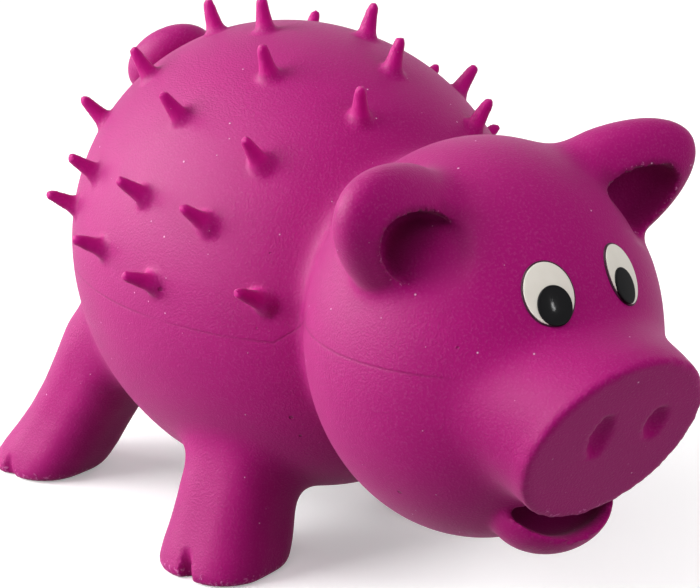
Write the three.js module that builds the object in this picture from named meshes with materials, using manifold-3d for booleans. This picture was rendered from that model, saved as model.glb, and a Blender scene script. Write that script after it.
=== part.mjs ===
// A squeezable latex pig for dogs: a moulded skin with flexing head, ears, legs and tail,
// a fibre filling and a grunting voice unit with bellows. Millimetres, +Z up, the nose
// towards +X and the pig's left towards +Y. The pig stands on Z = 0.
import * as THREE from "three";
import { mergeVertices } from "three/addons/utils/BufferGeometryUtils.js";
import Module from "manifold-3d";

const wasm = await Module();
wasm.setup();

// Skin wall, and the clearance between pieces that lie against each other
const SKIN = 2.4;
const SEAT_GAP = 0.4;

// Barrel-shaped torso
const TORSO_LENGTH = 129.6;
const TORSO_WIDTH = 105;
const TORSO_HEIGHT = 114;
const TORSO_X = -28.5;
const BELLY_HEIGHT = 10.6;

// Round head, sunk into the front of the torso, nodding about its own middle
const HEAD_LENGTH = 79.6;
const HEAD_WIDTH = 80.8;
const HEAD_HEIGHT = 91.2;
const HEAD_SINK = 28.2;
const HEAD_RISE = 0.3;
const NECK_LIP = 8;
const NOD_ANGLE = 6;

// Flat snout disc, tipped to the ground, with its nostrils and the lip under it
const SNOUT_DIAMETER = 46;
const SNOUT_REACH = 45.7;
const SNOUT_DROP = 10.1;
const SNOUT_TILT_ANGLE = 26;
const SNOUT_EDGE = 2.5;
const SNOUT_FLARE = 4;
const MUZZLE_DEPTH = 22;
const MUZZLE_WAIST = 2;
const NOSTRIL_SPACING = 15;
const NOSTRIL_RISE = 4.5;
const NOSTRIL_WIDTH = 4.6;
const NOSTRIL_HEIGHT = 8.4;
const NOSTRIL_DEPTH = 3;
const NOSTRIL_TAPER = 0.4;
const LIP_LENGTH = 26;
const LIP_WIDTH = 32;
const LIP_HEIGHT = 24;
const LIP_WALL = 3.2;
const LIP_REACH = 24;
const LIP_DROP = 31;

// Glossy eyes: a raised white oval with a black pupil low in it
const EYE_AXIAL_ANGLE = 58;
const EYE_ROLL_ANGLE = 26.7;
const EYE_TILT_ANGLE = 3;
const EYE_WIDTH = 11.6;
const EYE_HEIGHT = 14.2;
const EYE_THICKNESS = 1.2;
const PUPIL_WIDTH = 7.4;
const PUPIL_HEIGHT = 8.8;
const PUPIL_DROP = 2.2;
const PUPIL_THICKNESS = 0.7;

// Thick hooded ears, hollow towards the front
const EAR_AXIAL_ANGLE = 9;
const EAR_ROLL_ANGLE = 45.7;
const EAR_ELEVATION_ANGLE = 31.8;
const EAR_TURN_ANGLE = 21.7;
const EAR_REACH = 22.4;
const EAR_ROOT_DEPTH = 10.8;
const EAR_HEIGHT = 31.2;
const EAR_DEPTH = 21.4;
const EAR_HOLLOW_LENGTH = 26;
const EAR_HOLLOW_HEIGHT = 18;
const EAR_HOLLOW_DEPTH = 16;
const EAR_HOLLOW_OUT = 9.5;
const EAR_HOLLOW_DROP = 5;
const EAR_PIVOT_SINK = 3;
const EAR_BALL = 18;
const EAR_FLEX_ANGLE = 12;

// Short fat legs on ball-shaped roots, the toes pointing outwards
const FRONT_FOOT_AHEAD = 20.5;
const FRONT_TRACK = 67;
const FRONT_HIP_AXIAL_ANGLE = 16;
const FRONT_HIP_ROLL_ANGLE = 134;
const FRONT_HIP_SINK = 10;
const FRONT_HIP_BALL = 33;
const FRONT_LEG_DIAMETER = 26;
const FRONT_FOOT_LENGTH = 32;
const FRONT_FOOT_WIDTH = 28;
const FRONT_TOE_TURN_ANGLE = 23;
const REAR_FOOT_BEHIND = 61.5;
const REAR_TRACK = 80;
const REAR_HIP_AXIAL_ANGLE = -40;
const REAR_HIP_ROLL_ANGLE = 128;
const REAR_HIP_SINK = 9;
const REAR_HIP_BALL = 34;
const REAR_LEG_DIAMETER = 27;
const REAR_FOOT_LENGTH = 29;
const REAR_FOOT_WIDTH = 26;
const REAR_TOE_TURN_ANGLE = 16;
const ANKLE_HEIGHT = 10;
const SOLE_EDGE = 3.5;
const CLEFT_WIDTH = 3.6;
const CLEFT_DEPTH = 4.5;
const CLEFT_HEIGHT = 10;
const LEG_FLEX_ANGLE = 8;

// Curled tail on the rump
const TAIL_AXIAL_ANGLE = -54;
const TAIL_SINK = 2;
const TAIL_BALL = 13;
const TAIL_CURL_RADIUS = 7;
const TAIL_START_ANGLE = -90;
const TAIL_CURL_ANGLE = 270;
const TAIL_CURL_POINTS = 8;
const TAIL_THICKNESS = 12.5;
const TAIL_TIP_THICKNESS = 9;
const TAIL_STAND_OFF = 8;
const TAIL_FLEX_ANGLE = 8;

// Soft spines in rows along the back; each row has its roll angle and its places along the torso
const SPINE_LENGTH = 8.2;
const SPINE_BASE = 5.6;
const SPINE_WAIST = 4.3;
const SPINE_WAIST_HEIGHT = 1.6;
const SPINE_TIP = 2;
const SPINE_UPWARD_LEAN = 0.3;
const SPINE_LENGTHWISE_LEAN = 0.3;
const SPINE_ROWS = [
  { roll: 81, along: [-30, -5, 14, 42] },
  { roll: 65, along: [-17, 6, 24] },
  { roll: 50, along: [-32] },
  { roll: 44, along: [6, 31] },
  { roll: 35, along: [-19] },
  { roll: 22, along: [16] },
  { roll: 10, along: [-16, 0, 40] },
  { roll: -10, along: [11, 28] },
  { roll: -29, along: [-27] },
  { roll: -34, along: [39] },
  { roll: -47, along: [13] },
  { roll: -54, along: [-32, -7, 32] },
  { roll: -68, along: [-19, 7, 25] },
  { roll: -82, along: [-30, -5, 15, 42] },
];

// Grunting voice unit over the belly vent: base, bellows, lid and reed
const VOICE_BACK = 11.5;
const VOICE_DIAMETER = 32;
const VOICE_BASE_HEIGHT = 3;
const BELLOWS_HEIGHT = 20;
const BELLOWS_FOLDS = 3;
const BELLOWS_FOLD_DEPTH = 3.5;
const BELLOWS_WALL = 1;
const VOICE_LID_HEIGHT = 3;
const SQUEEZE_TRAVEL = 8;
const VENT_HOLE_DIAMETER = 16;
const VENT_COLLAR = 3;
const VENT_BORE = 4;
const REED_TUBE_DIAMETER = 9;
const REED_TUBE_BORE = 6;
const REED_TONGUE_LENGTH = 7;
const REED_TONGUE_WIDTH = 3;
const REED_TONGUE_THICKNESS = 0.5;
const REED_CLIP_THICKNESS = 1.4;
const REED_HEADROOM = 3;

// Facets
const BODY_SIDES = 26;
const BODY_ROWS = 16;
const INNER_SIDES = 16;
const INNER_ROWS = 9;
const BALL_SIDES = 12;
const BALL_ROWS = 8;
const LIMB_SIDES = 12;
const DRUM_SIDES = 16;
const BORE_SIDES = 12;
const NOSTRIL_SIDES = 10;
const SPINE_SIDES = 5;
const EAR_SIDES = 18;
const EAR_ROWS = 12;
const TAIL_STEPS = 14;
const TAIL_SIDES = 8;
const TAIL_END_ROWS = 6;
const MERGE_DISTANCE = 1e-4;

const X_AXIS = new THREE.Vector3(1, 0, 0);
const Y_AXIS = new THREE.Vector3(0, 1, 0);
const Z_AXIS = new THREE.Vector3(0, 0, 1);
const radians = THREE.MathUtils.degToRad;

// A closed geometry as a solid for joining and cutting
function solid(geometry) {
  const bare = geometry.clone();
  bare.deleteAttribute("normal");
  bare.deleteAttribute("uv");
  const merged = mergeVertices(bare, MERGE_DISTANCE);
  return new wasm.Manifold(
    new wasm.Mesh({
      numProp: 3,
      vertProperties: new Float32Array(merged.attributes.position.array),
      triVerts: new Uint32Array(merged.index.array),
    }),
  );
}

function mesh(name, body, material) {
  const result = body.getMesh();
  const geometry = new THREE.BufferGeometry();
  geometry.setAttribute("position", new THREE.BufferAttribute(result.vertProperties, 3));
  geometry.setIndex(new THREE.BufferAttribute(result.triVerts, 1));
  const piece = new THREE.Mesh(geometry, material());
  piece.name = name;
  return piece;
}

function union(bodies) {
  return bodies.reduce((whole, body) => whole.add(body));
}

// An ellipsoid given by its middle and its three half lengths
function ellipsoid(middle, half, sides, rows) {
  const geometry = new THREE.SphereGeometry(1, sides, rows);
  geometry.rotateX(Math.PI / 2);
  geometry.scale(half.x, half.y, half.z);
  geometry.translate(middle.x, middle.y, middle.z);
  return solid(geometry);
}

function ball(middle, radius, sides = BALL_SIDES, rows = BALL_ROWS) {
  return ellipsoid(middle, new THREE.Vector3(radius, radius, radius), sides, rows);
}

// The share of its radius that a faceted ball's flat facets reach at least
function facetShare(sides, rows) {
  return Math.cos(Math.PI / sides) * Math.cos(Math.PI / (2 * rows));
}
const ballShare = facetShare(BALL_SIDES, BALL_ROWS);

function grown(half, amount) {
  return half.clone().addScalar(amount);
}

// A coarse ellipsoid whose flat facets all stay clear of the form inside it
function clearOf(form) {
  const half = grown(form.half, SEAT_GAP).divideScalar(facetShare(INNER_SIDES, INNER_ROWS));
  return ellipsoid(form.middle, half, INNER_SIDES, INNER_ROWS);
}

// A ring of points about a middle, in the plane of two directions
function ring(middle, first, second, firstRadius, secondRadius, sides) {
  return Array.from({ length: sides }, (unused, side) => {
    const turn = (2 * Math.PI * side) / sides;
    return middle
      .clone()
      .addScaledVector(first, firstRadius * Math.cos(turn))
      .addScaledVector(second, secondRadius * Math.sin(turn));
  });
}

// A closed skin over a stack of rings, each end closed by a fan round its middle
function loft(rings) {
  const sides = rings[0].length;
  const points = rings.flat();
  const index = [];
  for (let row = 0; row + 1 < rings.length; row += 1) {
    for (let side = 0; side < sides; side += 1) {
      const here = row * sides + side;
      const next = row * sides + ((side + 1) % sides);
      index.push(here, next, next + sides, here, next + sides, here + sides);
    }
  }
  const middleOf = (loop) =>
    loop.reduce((sum, point) => sum.add(point), new THREE.Vector3()).divideScalar(loop.length);
  const last = (rings.length - 1) * sides;
  const startMiddle = points.push(middleOf(rings[0])) - 1;
  const endMiddle = points.push(middleOf(rings[rings.length - 1])) - 1;
  for (let side = 0; side < sides; side += 1) {
    const next = (side + 1) % sides;
    index.push(next, side, startMiddle, last + side, last + next, endMiddle);
  }
  const geometry = new THREE.BufferGeometry().setFromPoints(points);
  geometry.setIndex(index);
  return solid(geometry);
}

// A solid turned about a line by an angle in degrees
function turned(body, point, axis, angle) {
  const matrix = new THREE.Matrix4()
    .makeTranslation(point.x, point.y, point.z)
    .multiply(new THREE.Matrix4().makeRotationAxis(axis, radians(angle)))
    .multiply(new THREE.Matrix4().makeTranslation(-point.x, -point.y, -point.z));
  return body.transform(matrix.elements);
}

// The space that a solid passes through as it turns both ways about a line
function swept(body, point, axis, angle) {
  return union([body, turned(body, point, axis, angle), turned(body, point, axis, -angle)]);
}

// A place on an ellipsoid: axial angle from its middle section towards the nose,
// and roll angle from the top towards the pig's right
function placeOn(form, axial, roll) {
  const along = Math.sin(radians(axial));
  const across = Math.cos(radians(axial));
  const side = -across * Math.sin(radians(roll));
  const rise = across * Math.cos(radians(roll));
  const { middle, half } = form;
  const offset = new THREE.Vector3(half.x * along, half.y * side, half.z * rise);
  const normal = new THREE.Vector3(along / half.x, side / half.y, rise / half.z).normalize();
  return { point: middle.clone().add(offset), normal };
}

function lathe(profile, sides) {
  const geometry = new THREE.LatheGeometry(profile, sides);
  geometry.rotateX(Math.PI / 2);
  return solid(geometry);
}

// A flat-ended cylinder that stands on the Z axis between two heights
function drum(radius, bottom, top, sides = DRUM_SIDES) {
  const geometry = new THREE.CylinderGeometry(radius, radius, top - bottom, sides);
  geometry.rotateX(Math.PI / 2);
  geometry.translate(0, 0, (bottom + top) / 2);
  return solid(geometry);
}

function block(sizeX, sizeY, sizeZ, middle) {
  const geometry = new THREE.BoxGeometry(sizeX, sizeY, sizeZ);
  geometry.translate(middle.x, middle.y, middle.z);
  return solid(geometry);
}

const latex = () => new THREE.MeshStandardMaterial({ color: 0xa51e6e, roughness: 0.55, metalness: 0 });
const fibre = () => new THREE.MeshStandardMaterial({ color: 0xece8df, roughness: 0.95, metalness: 0 });
const eyeWhite = () => new THREE.MeshStandardMaterial({ color: 0xd9d6ce, roughness: 0.2, metalness: 0 });
const pupilBlack = () => new THREE.MeshStandardMaterial({ color: 0x0c0c0e, roughness: 0.15, metalness: 0 });
const voicePlastic = () => new THREE.MeshStandardMaterial({ color: 0xd8d4c4, roughness: 0.5, metalness: 0 });
const bellowsVinyl = () => new THREE.MeshStandardMaterial({ color: 0x6f7a80, roughness: 0.6, metalness: 0 });
const reedBrass = () => new THREE.MeshStandardMaterial({ color: 0xb08d3c, roughness: 0.35, metalness: 1 });

const torso = {
  middle: new THREE.Vector3(TORSO_X, 0, BELLY_HEIGHT + TORSO_HEIGHT / 2),
  half: new THREE.Vector3(TORSO_LENGTH / 2, TORSO_WIDTH / 2, TORSO_HEIGHT / 2),
};
const head = {
  middle: new THREE.Vector3(
    TORSO_X + TORSO_LENGTH / 2 + HEAD_LENGTH / 2 - HEAD_SINK,
    0,
    torso.middle.z + HEAD_RISE,
  ),
  half: new THREE.Vector3(HEAD_LENGTH / 2, HEAD_WIDTH / 2, HEAD_HEIGHT / 2),
};
const torsoOuter = ellipsoid(torso.middle, torso.half, BODY_SIDES, BODY_ROWS);
const torsoClear = clearOf(torso);
const torsoInner = ellipsoid(torso.middle, grown(torso.half, -SKIN), INNER_SIDES, INNER_ROWS);
const headOuter = ellipsoid(head.middle, head.half, BODY_SIDES, BODY_ROWS);
const headClear = clearOf(head);
const headInner = ellipsoid(head.middle, grown(head.half, -SKIN), INNER_SIDES, INNER_ROWS);
const headSweep = swept(headClear, head.middle, Y_AXIS, NOD_ANGLE);

// The part of a limb that clears its host as it flexes, and keeps its ball-shaped root
function rooted(limb, hostClear, pivot, axis, angle, ballDiameter) {
  const root = ball(pivot, ballDiameter / 2);
  return limb.subtract(swept(hostClear, pivot, axis, angle).subtract(root));
}

// The space round a ball-shaped root, turned by half a facet so that its flats face the ball's edges
function socket(pivot, ballDiameter) {
  const space = ball(pivot, (ballDiameter / 2 + SEAT_GAP) / ballShare);
  return turned(space, pivot, Z_AXIS, 180 / BALL_SIDES);
}

// Legs: rings from the sole up to the ball that turns in the torso, open at the top of the ball
function makeLeg(spec, side) {
  const hip = placeOn(torso, spec.hipAxial, -side * spec.hipRoll);
  const pivot = hip.point.clone().addScaledVector(hip.normal, -spec.hipSink);
  const foot = new THREE.Vector3(torso.middle.x + spec.footAhead, (side * spec.track) / 2, 0);
  const centreAt = (height) => foot.clone().lerp(pivot, height / pivot.z);
  const shape = (inset, floor) => {
    const places = [
      { height: 0, x: spec.footWidth / 2 - SOLE_EDGE / 2, y: spec.footLength / 2 - SOLE_EDGE / 2 },
      { height: SOLE_EDGE, x: spec.footWidth / 2, y: spec.footLength / 2 },
      { height: ANKLE_HEIGHT, x: spec.legDiameter / 2, y: spec.footLength / 2 - SOLE_EDGE / 2 },
      { height: (ANKLE_HEIGHT + pivot.z) / 2, x: spec.legDiameter / 2, y: spec.legDiameter / 2 },
      { height: pivot.z, x: spec.legDiameter / 2, y: spec.legDiameter / 2 },
    ];
    const rings = places
      .filter((place) => place.height >= floor)
      .map((place) =>
        ring(centreAt(place.height), X_AXIS, Y_AXIS, place.x - inset, place.y - inset, LIMB_SIDES),
      );
    return loft(rings).add(ball(pivot, spec.hipBall / 2 - inset));
  };
  const cleftShape = new THREE.Shape([
    new THREE.Vector2(-CLEFT_WIDTH / 2, CLEFT_DEPTH),
    new THREE.Vector2(0, -CLEFT_DEPTH),
    new THREE.Vector2(CLEFT_WIDTH / 2, CLEFT_DEPTH),
  ]);
  const cleft = new THREE.ExtrudeGeometry(cleftShape, { depth: 2 * CLEFT_HEIGHT, bevelEnabled: false });
  cleft.translate(0, spec.footLength / 2, -CLEFT_HEIGHT);
  cleft.rotateZ(side > 0 ? -radians(spec.toeTurn) : Math.PI + radians(spec.toeTurn));
  cleft.translate(foot.x, foot.y, 0);
  const outside = shape(0, 0).subtract(solid(cleft));
  const mouth = drum(spec.legDiameter / 2 - SKIN, 0, spec.hipBall).translate(pivot.toArray());
  const cavity = shape(SKIN, ANKLE_HEIGHT).add(mouth);
  const skin = rooted(outside, torsoClear, pivot, Y_AXIS, LEG_FLEX_ANGLE, spec.hipBall).subtract(cavity);
  const plug = shape(SKIN + SEAT_GAP, ANKLE_HEIGHT).translate([0, 0, SEAT_GAP]);
  const fill = rooted(plug, torsoClear, pivot, Y_AXIS, LEG_FLEX_ANGLE, spec.hipBall);
  return { name: spec.name + (side > 0 ? "_left" : "_right"), pivot, skin, fill };
}

const legSpecs = [
  {
    name: "front",
    footAhead: FRONT_FOOT_AHEAD,
    track: FRONT_TRACK,
    hipAxial: FRONT_HIP_AXIAL_ANGLE,
    hipRoll: FRONT_HIP_ROLL_ANGLE,
    hipSink: FRONT_HIP_SINK,
    hipBall: FRONT_HIP_BALL,
    legDiameter: FRONT_LEG_DIAMETER,
    footLength: FRONT_FOOT_LENGTH,
    footWidth: FRONT_FOOT_WIDTH,
    toeTurn: FRONT_TOE_TURN_ANGLE,
  },
  {
    name: "rear",
    footAhead: -REAR_FOOT_BEHIND,
    track: REAR_TRACK,
    hipAxial: REAR_HIP_AXIAL_ANGLE,
    hipRoll: REAR_HIP_ROLL_ANGLE,
    hipSink: REAR_HIP_SINK,
    hipBall: REAR_HIP_BALL,
    legDiameter: REAR_LEG_DIAMETER,
    footLength: REAR_FOOT_LENGTH,
    footWidth: REAR_FOOT_WIDTH,
    toeTurn: REAR_TOE_TURN_ANGLE,
  },
];
const legs = legSpecs.flatMap((spec) => [1, -1].map((side) => ({ spec, ...makeLeg(spec, side) })));

// Tail: a tapering tube that leaves the rump and curls flat against it
function makeTail() {
  const rump = placeOn(torso, TAIL_AXIAL_ANGLE, 0);
  const out = rump.normal;
  const up = new THREE.Vector3().crossVectors(out, Y_AXIS).normalize();
  const pivot = rump.point.clone().addScaledVector(out, -TAIL_SINK);
  const curl = Array.from({ length: TAIL_CURL_POINTS }, (unused, step) => {
    const turn = radians(TAIL_START_ANGLE + (TAIL_CURL_ANGLE * step) / (TAIL_CURL_POINTS - 1));
    return rump.point
      .clone()
      .addScaledVector(out, TAIL_STAND_OFF)
      .addScaledVector(Y_AXIS, TAIL_CURL_RADIUS * Math.cos(turn))
      .addScaledVector(up, TAIL_CURL_RADIUS * Math.sin(turn));
  });
  const path = new THREE.CatmullRomCurve3(curl);
  const frames = path.computeFrenetFrames(TAIL_STEPS);
  const rings = Array.from({ length: TAIL_STEPS + 1 }, (unused, step) => {
    const share = step / TAIL_STEPS;
    const thickness = THREE.MathUtils.lerp(TAIL_THICKNESS, TAIL_TIP_THICKNESS, share);
    const middle = path.getPointAt(share);
    const [first, second] = [frames.normals[step], frames.binormals[step]];
    return ring(middle, first, second, thickness / 2, thickness / 2, TAIL_SIDES);
  });
  const start = ball(curl[0], TAIL_THICKNESS / 2, TAIL_SIDES, TAIL_END_ROWS);
  const tip = ball(curl[TAIL_CURL_POINTS - 1], TAIL_TIP_THICKNESS / 2, TAIL_SIDES, TAIL_END_ROWS);
  const tube = union([loft(rings), start, tip, ball(pivot, TAIL_BALL / 2)]);
  const body = rooted(tube, torsoClear, pivot, Y_AXIS, TAIL_FLEX_ANGLE, TAIL_BALL);
  return { pivot, body };
}
const tail = makeTail();

// Torso skin: hollow, with spines, open at the neck, hips, tail and belly vent
function makeSpine(axial, roll) {
  const place = placeOn(torso, axial, roll);
  const lean = new THREE.Vector3(
    place.normal.x * SPINE_LENGTHWISE_LEAN,
    place.normal.y,
    place.normal.z + SPINE_UPWARD_LEAN,
  ).normalize();
  const geometry = new THREE.LatheGeometry(
    [
      new THREE.Vector2(0, -SKIN / 2),
      new THREE.Vector2(SPINE_BASE / 2, -SKIN / 2),
      new THREE.Vector2(SPINE_WAIST / 2, SPINE_WAIST_HEIGHT),
      new THREE.Vector2(SPINE_TIP / 2, SPINE_LENGTH - SPINE_TIP / 2),
      new THREE.Vector2(0, SPINE_LENGTH),
    ],
    SPINE_SIDES,
  );
  geometry.applyQuaternion(new THREE.Quaternion().setFromUnitVectors(Y_AXIS, lean));
  geometry.translate(place.point.x, place.point.y, place.point.z);
  return solid(geometry);
}
const spines = SPINE_ROWS.flatMap((row) => row.along.map((axial) => makeSpine(axial, row.roll)));

const voiceX = torso.middle.x - VOICE_BACK;
const voiceRadius = VOICE_DIAMETER / 2;
const innerHalf = grown(torso.half, -SKIN);
const bellyInsideAt = (x) => {
  const share = (x - torso.middle.x) / innerHalf.x;
  return torso.middle.z - innerHalf.z * Math.sqrt(1 - share * share);
};
const voiceFloor = bellyInsideAt(voiceX - voiceRadius - SEAT_GAP) + 2 * SEAT_GAP;
const voiceTop = voiceFloor + VOICE_BASE_HEIGHT + BELLOWS_HEIGHT + VOICE_LID_HEIGHT + 2 * SEAT_GAP;
const ventHole = drum(VENT_HOLE_DIAMETER / 2, 0, voiceFloor).translate([voiceX, 0, 0]);
const sockets = [...legs.map((leg) => socket(leg.pivot, leg.spec.hipBall)), socket(tail.pivot, TAIL_BALL)];

const torsoSkin = union([torsoOuter, ...spines])
  .subtract(torsoInner)
  .subtract(headSweep)
  .subtract(union(sockets))
  .subtract(ventHole);

const voicePocket = drum(voiceRadius + SEAT_GAP, 0, voiceTop + SEAT_GAP).translate([voiceX, 0, 0]);
const torsoFill = ellipsoid(torso.middle, grown(torso.half, -SKIN - SEAT_GAP), INNER_SIDES, INNER_ROWS)
  .subtract(headSweep)
  .subtract(union(sockets))
  .subtract(voicePocket);

// Head: the ball, the muzzle that ends in the snout disc, and the lip
const snoutTilt = radians(SNOUT_TILT_ANGLE);
const snoutOut = new THREE.Vector3(Math.cos(snoutTilt), 0, -Math.sin(snoutTilt));
const snoutUp = new THREE.Vector3(Math.sin(snoutTilt), 0, Math.cos(snoutTilt));
const snoutMiddle = new THREE.Vector3(head.middle.x + SNOUT_REACH, 0, head.middle.z - SNOUT_DROP);
const snoutRadius = SNOUT_DIAMETER / 2;

function muzzle(inset) {
  const stations = [
    { behind: MUZZLE_DEPTH, radius: snoutRadius - MUZZLE_WAIST },
    { behind: MUZZLE_DEPTH / 2, radius: snoutRadius - MUZZLE_WAIST },
    { behind: SNOUT_FLARE, radius: snoutRadius - MUZZLE_WAIST / 4 },
    { behind: SNOUT_EDGE / 2, radius: snoutRadius },
    { behind: 0, radius: snoutRadius - SNOUT_EDGE / 2 },
  ];
  return loft(
    stations.map(({ behind, radius }) => {
      const middle = snoutMiddle.clone().addScaledVector(snoutOut, -behind - inset);
      return ring(middle, Y_AXIS, snoutUp, radius - inset, radius - inset, INNER_SIDES);
    }),
  );
}

function nostril(side) {
  const middle = snoutMiddle
    .clone()
    .addScaledVector(Y_AXIS, (side * NOSTRIL_SPACING) / 2)
    .addScaledVector(snoutUp, NOSTRIL_RISE);
  const deep = middle.clone().addScaledVector(snoutOut, -NOSTRIL_DEPTH);
  const shallow = middle.clone().addScaledVector(snoutOut, NOSTRIL_DEPTH);
  const hole = (place, share) =>
    ring(place, Y_AXIS, snoutUp, (NOSTRIL_WIDTH / 2) * share, (NOSTRIL_HEIGHT / 2) * share, NOSTRIL_SIDES);
  return loft([hole(deep, 1 - NOSTRIL_TAPER), hole(shallow, 1 + NOSTRIL_TAPER)]);
}

const lipMiddle = new THREE.Vector3(head.middle.x + LIP_REACH, 0, head.middle.z - LIP_DROP);
const lipHalf = new THREE.Vector3(LIP_LENGTH / 2, LIP_WIDTH / 2, LIP_HEIGHT / 2);
const lipScoopMiddle = lipMiddle.clone().add(new THREE.Vector3(LIP_WALL, 0, 2 * LIP_WALL));
const lip = ellipsoid(lipMiddle, lipHalf, INNER_SIDES, INNER_ROWS).subtract(
  ellipsoid(lipScoopMiddle, grown(lipHalf, -LIP_WALL), INNER_SIDES, INNER_ROWS),
);

// Ears: long rounded hoods on ball-shaped roots, hollowed from the front below
function makeEar(side) {
  const seat = placeOn(head, EAR_AXIAL_ANGLE, -side * EAR_ROLL_ANGLE).point;
  const rise = radians(EAR_ELEVATION_ANGLE);
  const turn = radians(EAR_TURN_ANGLE);
  const outwards = new THREE.Vector3(0, side * Math.cos(rise), Math.sin(rise));
  const along = outwards.clone().multiplyScalar(Math.cos(turn)).addScaledVector(X_AXIS, Math.sin(turn));
  const front = X_AXIS.clone().multiplyScalar(Math.cos(turn)).addScaledVector(outwards, -Math.sin(turn));
  const up = new THREE.Vector3(0, -side * Math.sin(rise), Math.cos(rise));
  const oval = (middle, depth, length, height) => {
    const geometry = new THREE.SphereGeometry(1, EAR_SIDES, EAR_ROWS);
    const frame = new THREE.Matrix4().makeBasis(
      front.clone().multiplyScalar(depth / 2),
      along.clone().multiplyScalar((side * length) / 2),
      up.clone().multiplyScalar(height / 2),
    );
    geometry.applyMatrix4(frame.setPosition(middle));
    return solid(geometry);
  };
  const pivot = seat.clone().addScaledVector(along, -EAR_PIVOT_SINK);
  const hoodMiddle = seat.clone().addScaledVector(along, -EAR_ROOT_DEPTH);
  const hollowMiddle = seat
    .clone()
    .addScaledVector(along, EAR_HOLLOW_OUT)
    .addScaledVector(front, EAR_DEPTH / 2)
    .addScaledVector(up, -EAR_HOLLOW_DROP);
  const hood = oval(hoodMiddle, EAR_DEPTH, 2 * (EAR_REACH + EAR_ROOT_DEPTH), EAR_HEIGHT)
    .add(ball(pivot, EAR_BALL / 2))
    .subtract(oval(hollowMiddle, EAR_HOLLOW_DEPTH, EAR_HOLLOW_LENGTH, EAR_HOLLOW_HEIGHT));
  return { pivot, axis: up, body: rooted(hood, headClear, pivot, up, EAR_FLEX_ANGLE, EAR_BALL) };
}
const ears = { left: makeEar(1), right: makeEar(-1) };

const neckCut = head.middle.x - head.half.x + NECK_LIP;
const neckOpening = block(
  2 * NECK_LIP,
  HEAD_WIDTH,
  HEAD_HEIGHT,
  new THREE.Vector3(neckCut - NECK_LIP, 0, head.middle.z),
);
const earSockets = Object.values(ears).map((ear) => socket(ear.pivot, EAR_BALL));
const headSkin = union([headOuter, muzzle(0), lip])
  .subtract(union([nostril(1), nostril(-1)]))
  .subtract(headInner)
  .subtract(muzzle(SKIN + NOSTRIL_DEPTH))
  .subtract(neckOpening)
  .subtract(union(earSockets));
const headFill = ellipsoid(head.middle, grown(head.half, -SKIN - SEAT_GAP), INNER_SIDES, INNER_ROWS)
  .add(muzzle(SKIN + NOSTRIL_DEPTH + SEAT_GAP))
  .subtract(union(earSockets));

// Eyes: oval slices of thin shells over the head
function eyeLayer(side, width, height, drop, bottom, thickness) {
  const seat = placeOn(head, EYE_AXIAL_ANGLE, -side * EYE_ROLL_ANGLE);
  const up = Z_AXIS.clone().addScaledVector(seat.normal, -seat.normal.z).normalize();
  up.applyAxisAngle(seat.normal, radians(-side * EYE_TILT_ANGLE));
  const across = new THREE.Vector3().crossVectors(up, seat.normal);
  const middle = seat.point.clone().addScaledVector(up, -drop);
  const slices = [-EYE_HEIGHT / 2, EYE_HEIGHT / 2].map((depth) =>
    ring(
      middle.clone().addScaledVector(seat.normal, depth),
      across,
      up,
      width / 2,
      height / 2,
      LIMB_SIDES,
    ),
  );
  const shell = (offset) => ellipsoid(head.middle, grown(head.half, offset), BODY_SIDES, BODY_ROWS);
  return loft(slices)
    .intersect(shell(bottom + thickness).subtract(shell(bottom)))
    .subtract(muzzle(-SEAT_GAP));
}

function eyePieces(side) {
  const name = side > 0 ? "left" : "right";
  const pupilBottom = EYE_THICKNESS + 2 * SEAT_GAP;
  const white = eyeLayer(side, EYE_WIDTH, EYE_HEIGHT, 0, SEAT_GAP, EYE_THICKNESS);
  const pupil = eyeLayer(side, PUPIL_WIDTH, PUPIL_HEIGHT, PUPIL_DROP, pupilBottom, PUPIL_THICKNESS);
  return [
    mesh(`${name}_eye_white`, white, eyeWhite),
    mesh(`${name}_pupil`, pupil, pupilBlack),
  ];
}

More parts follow.
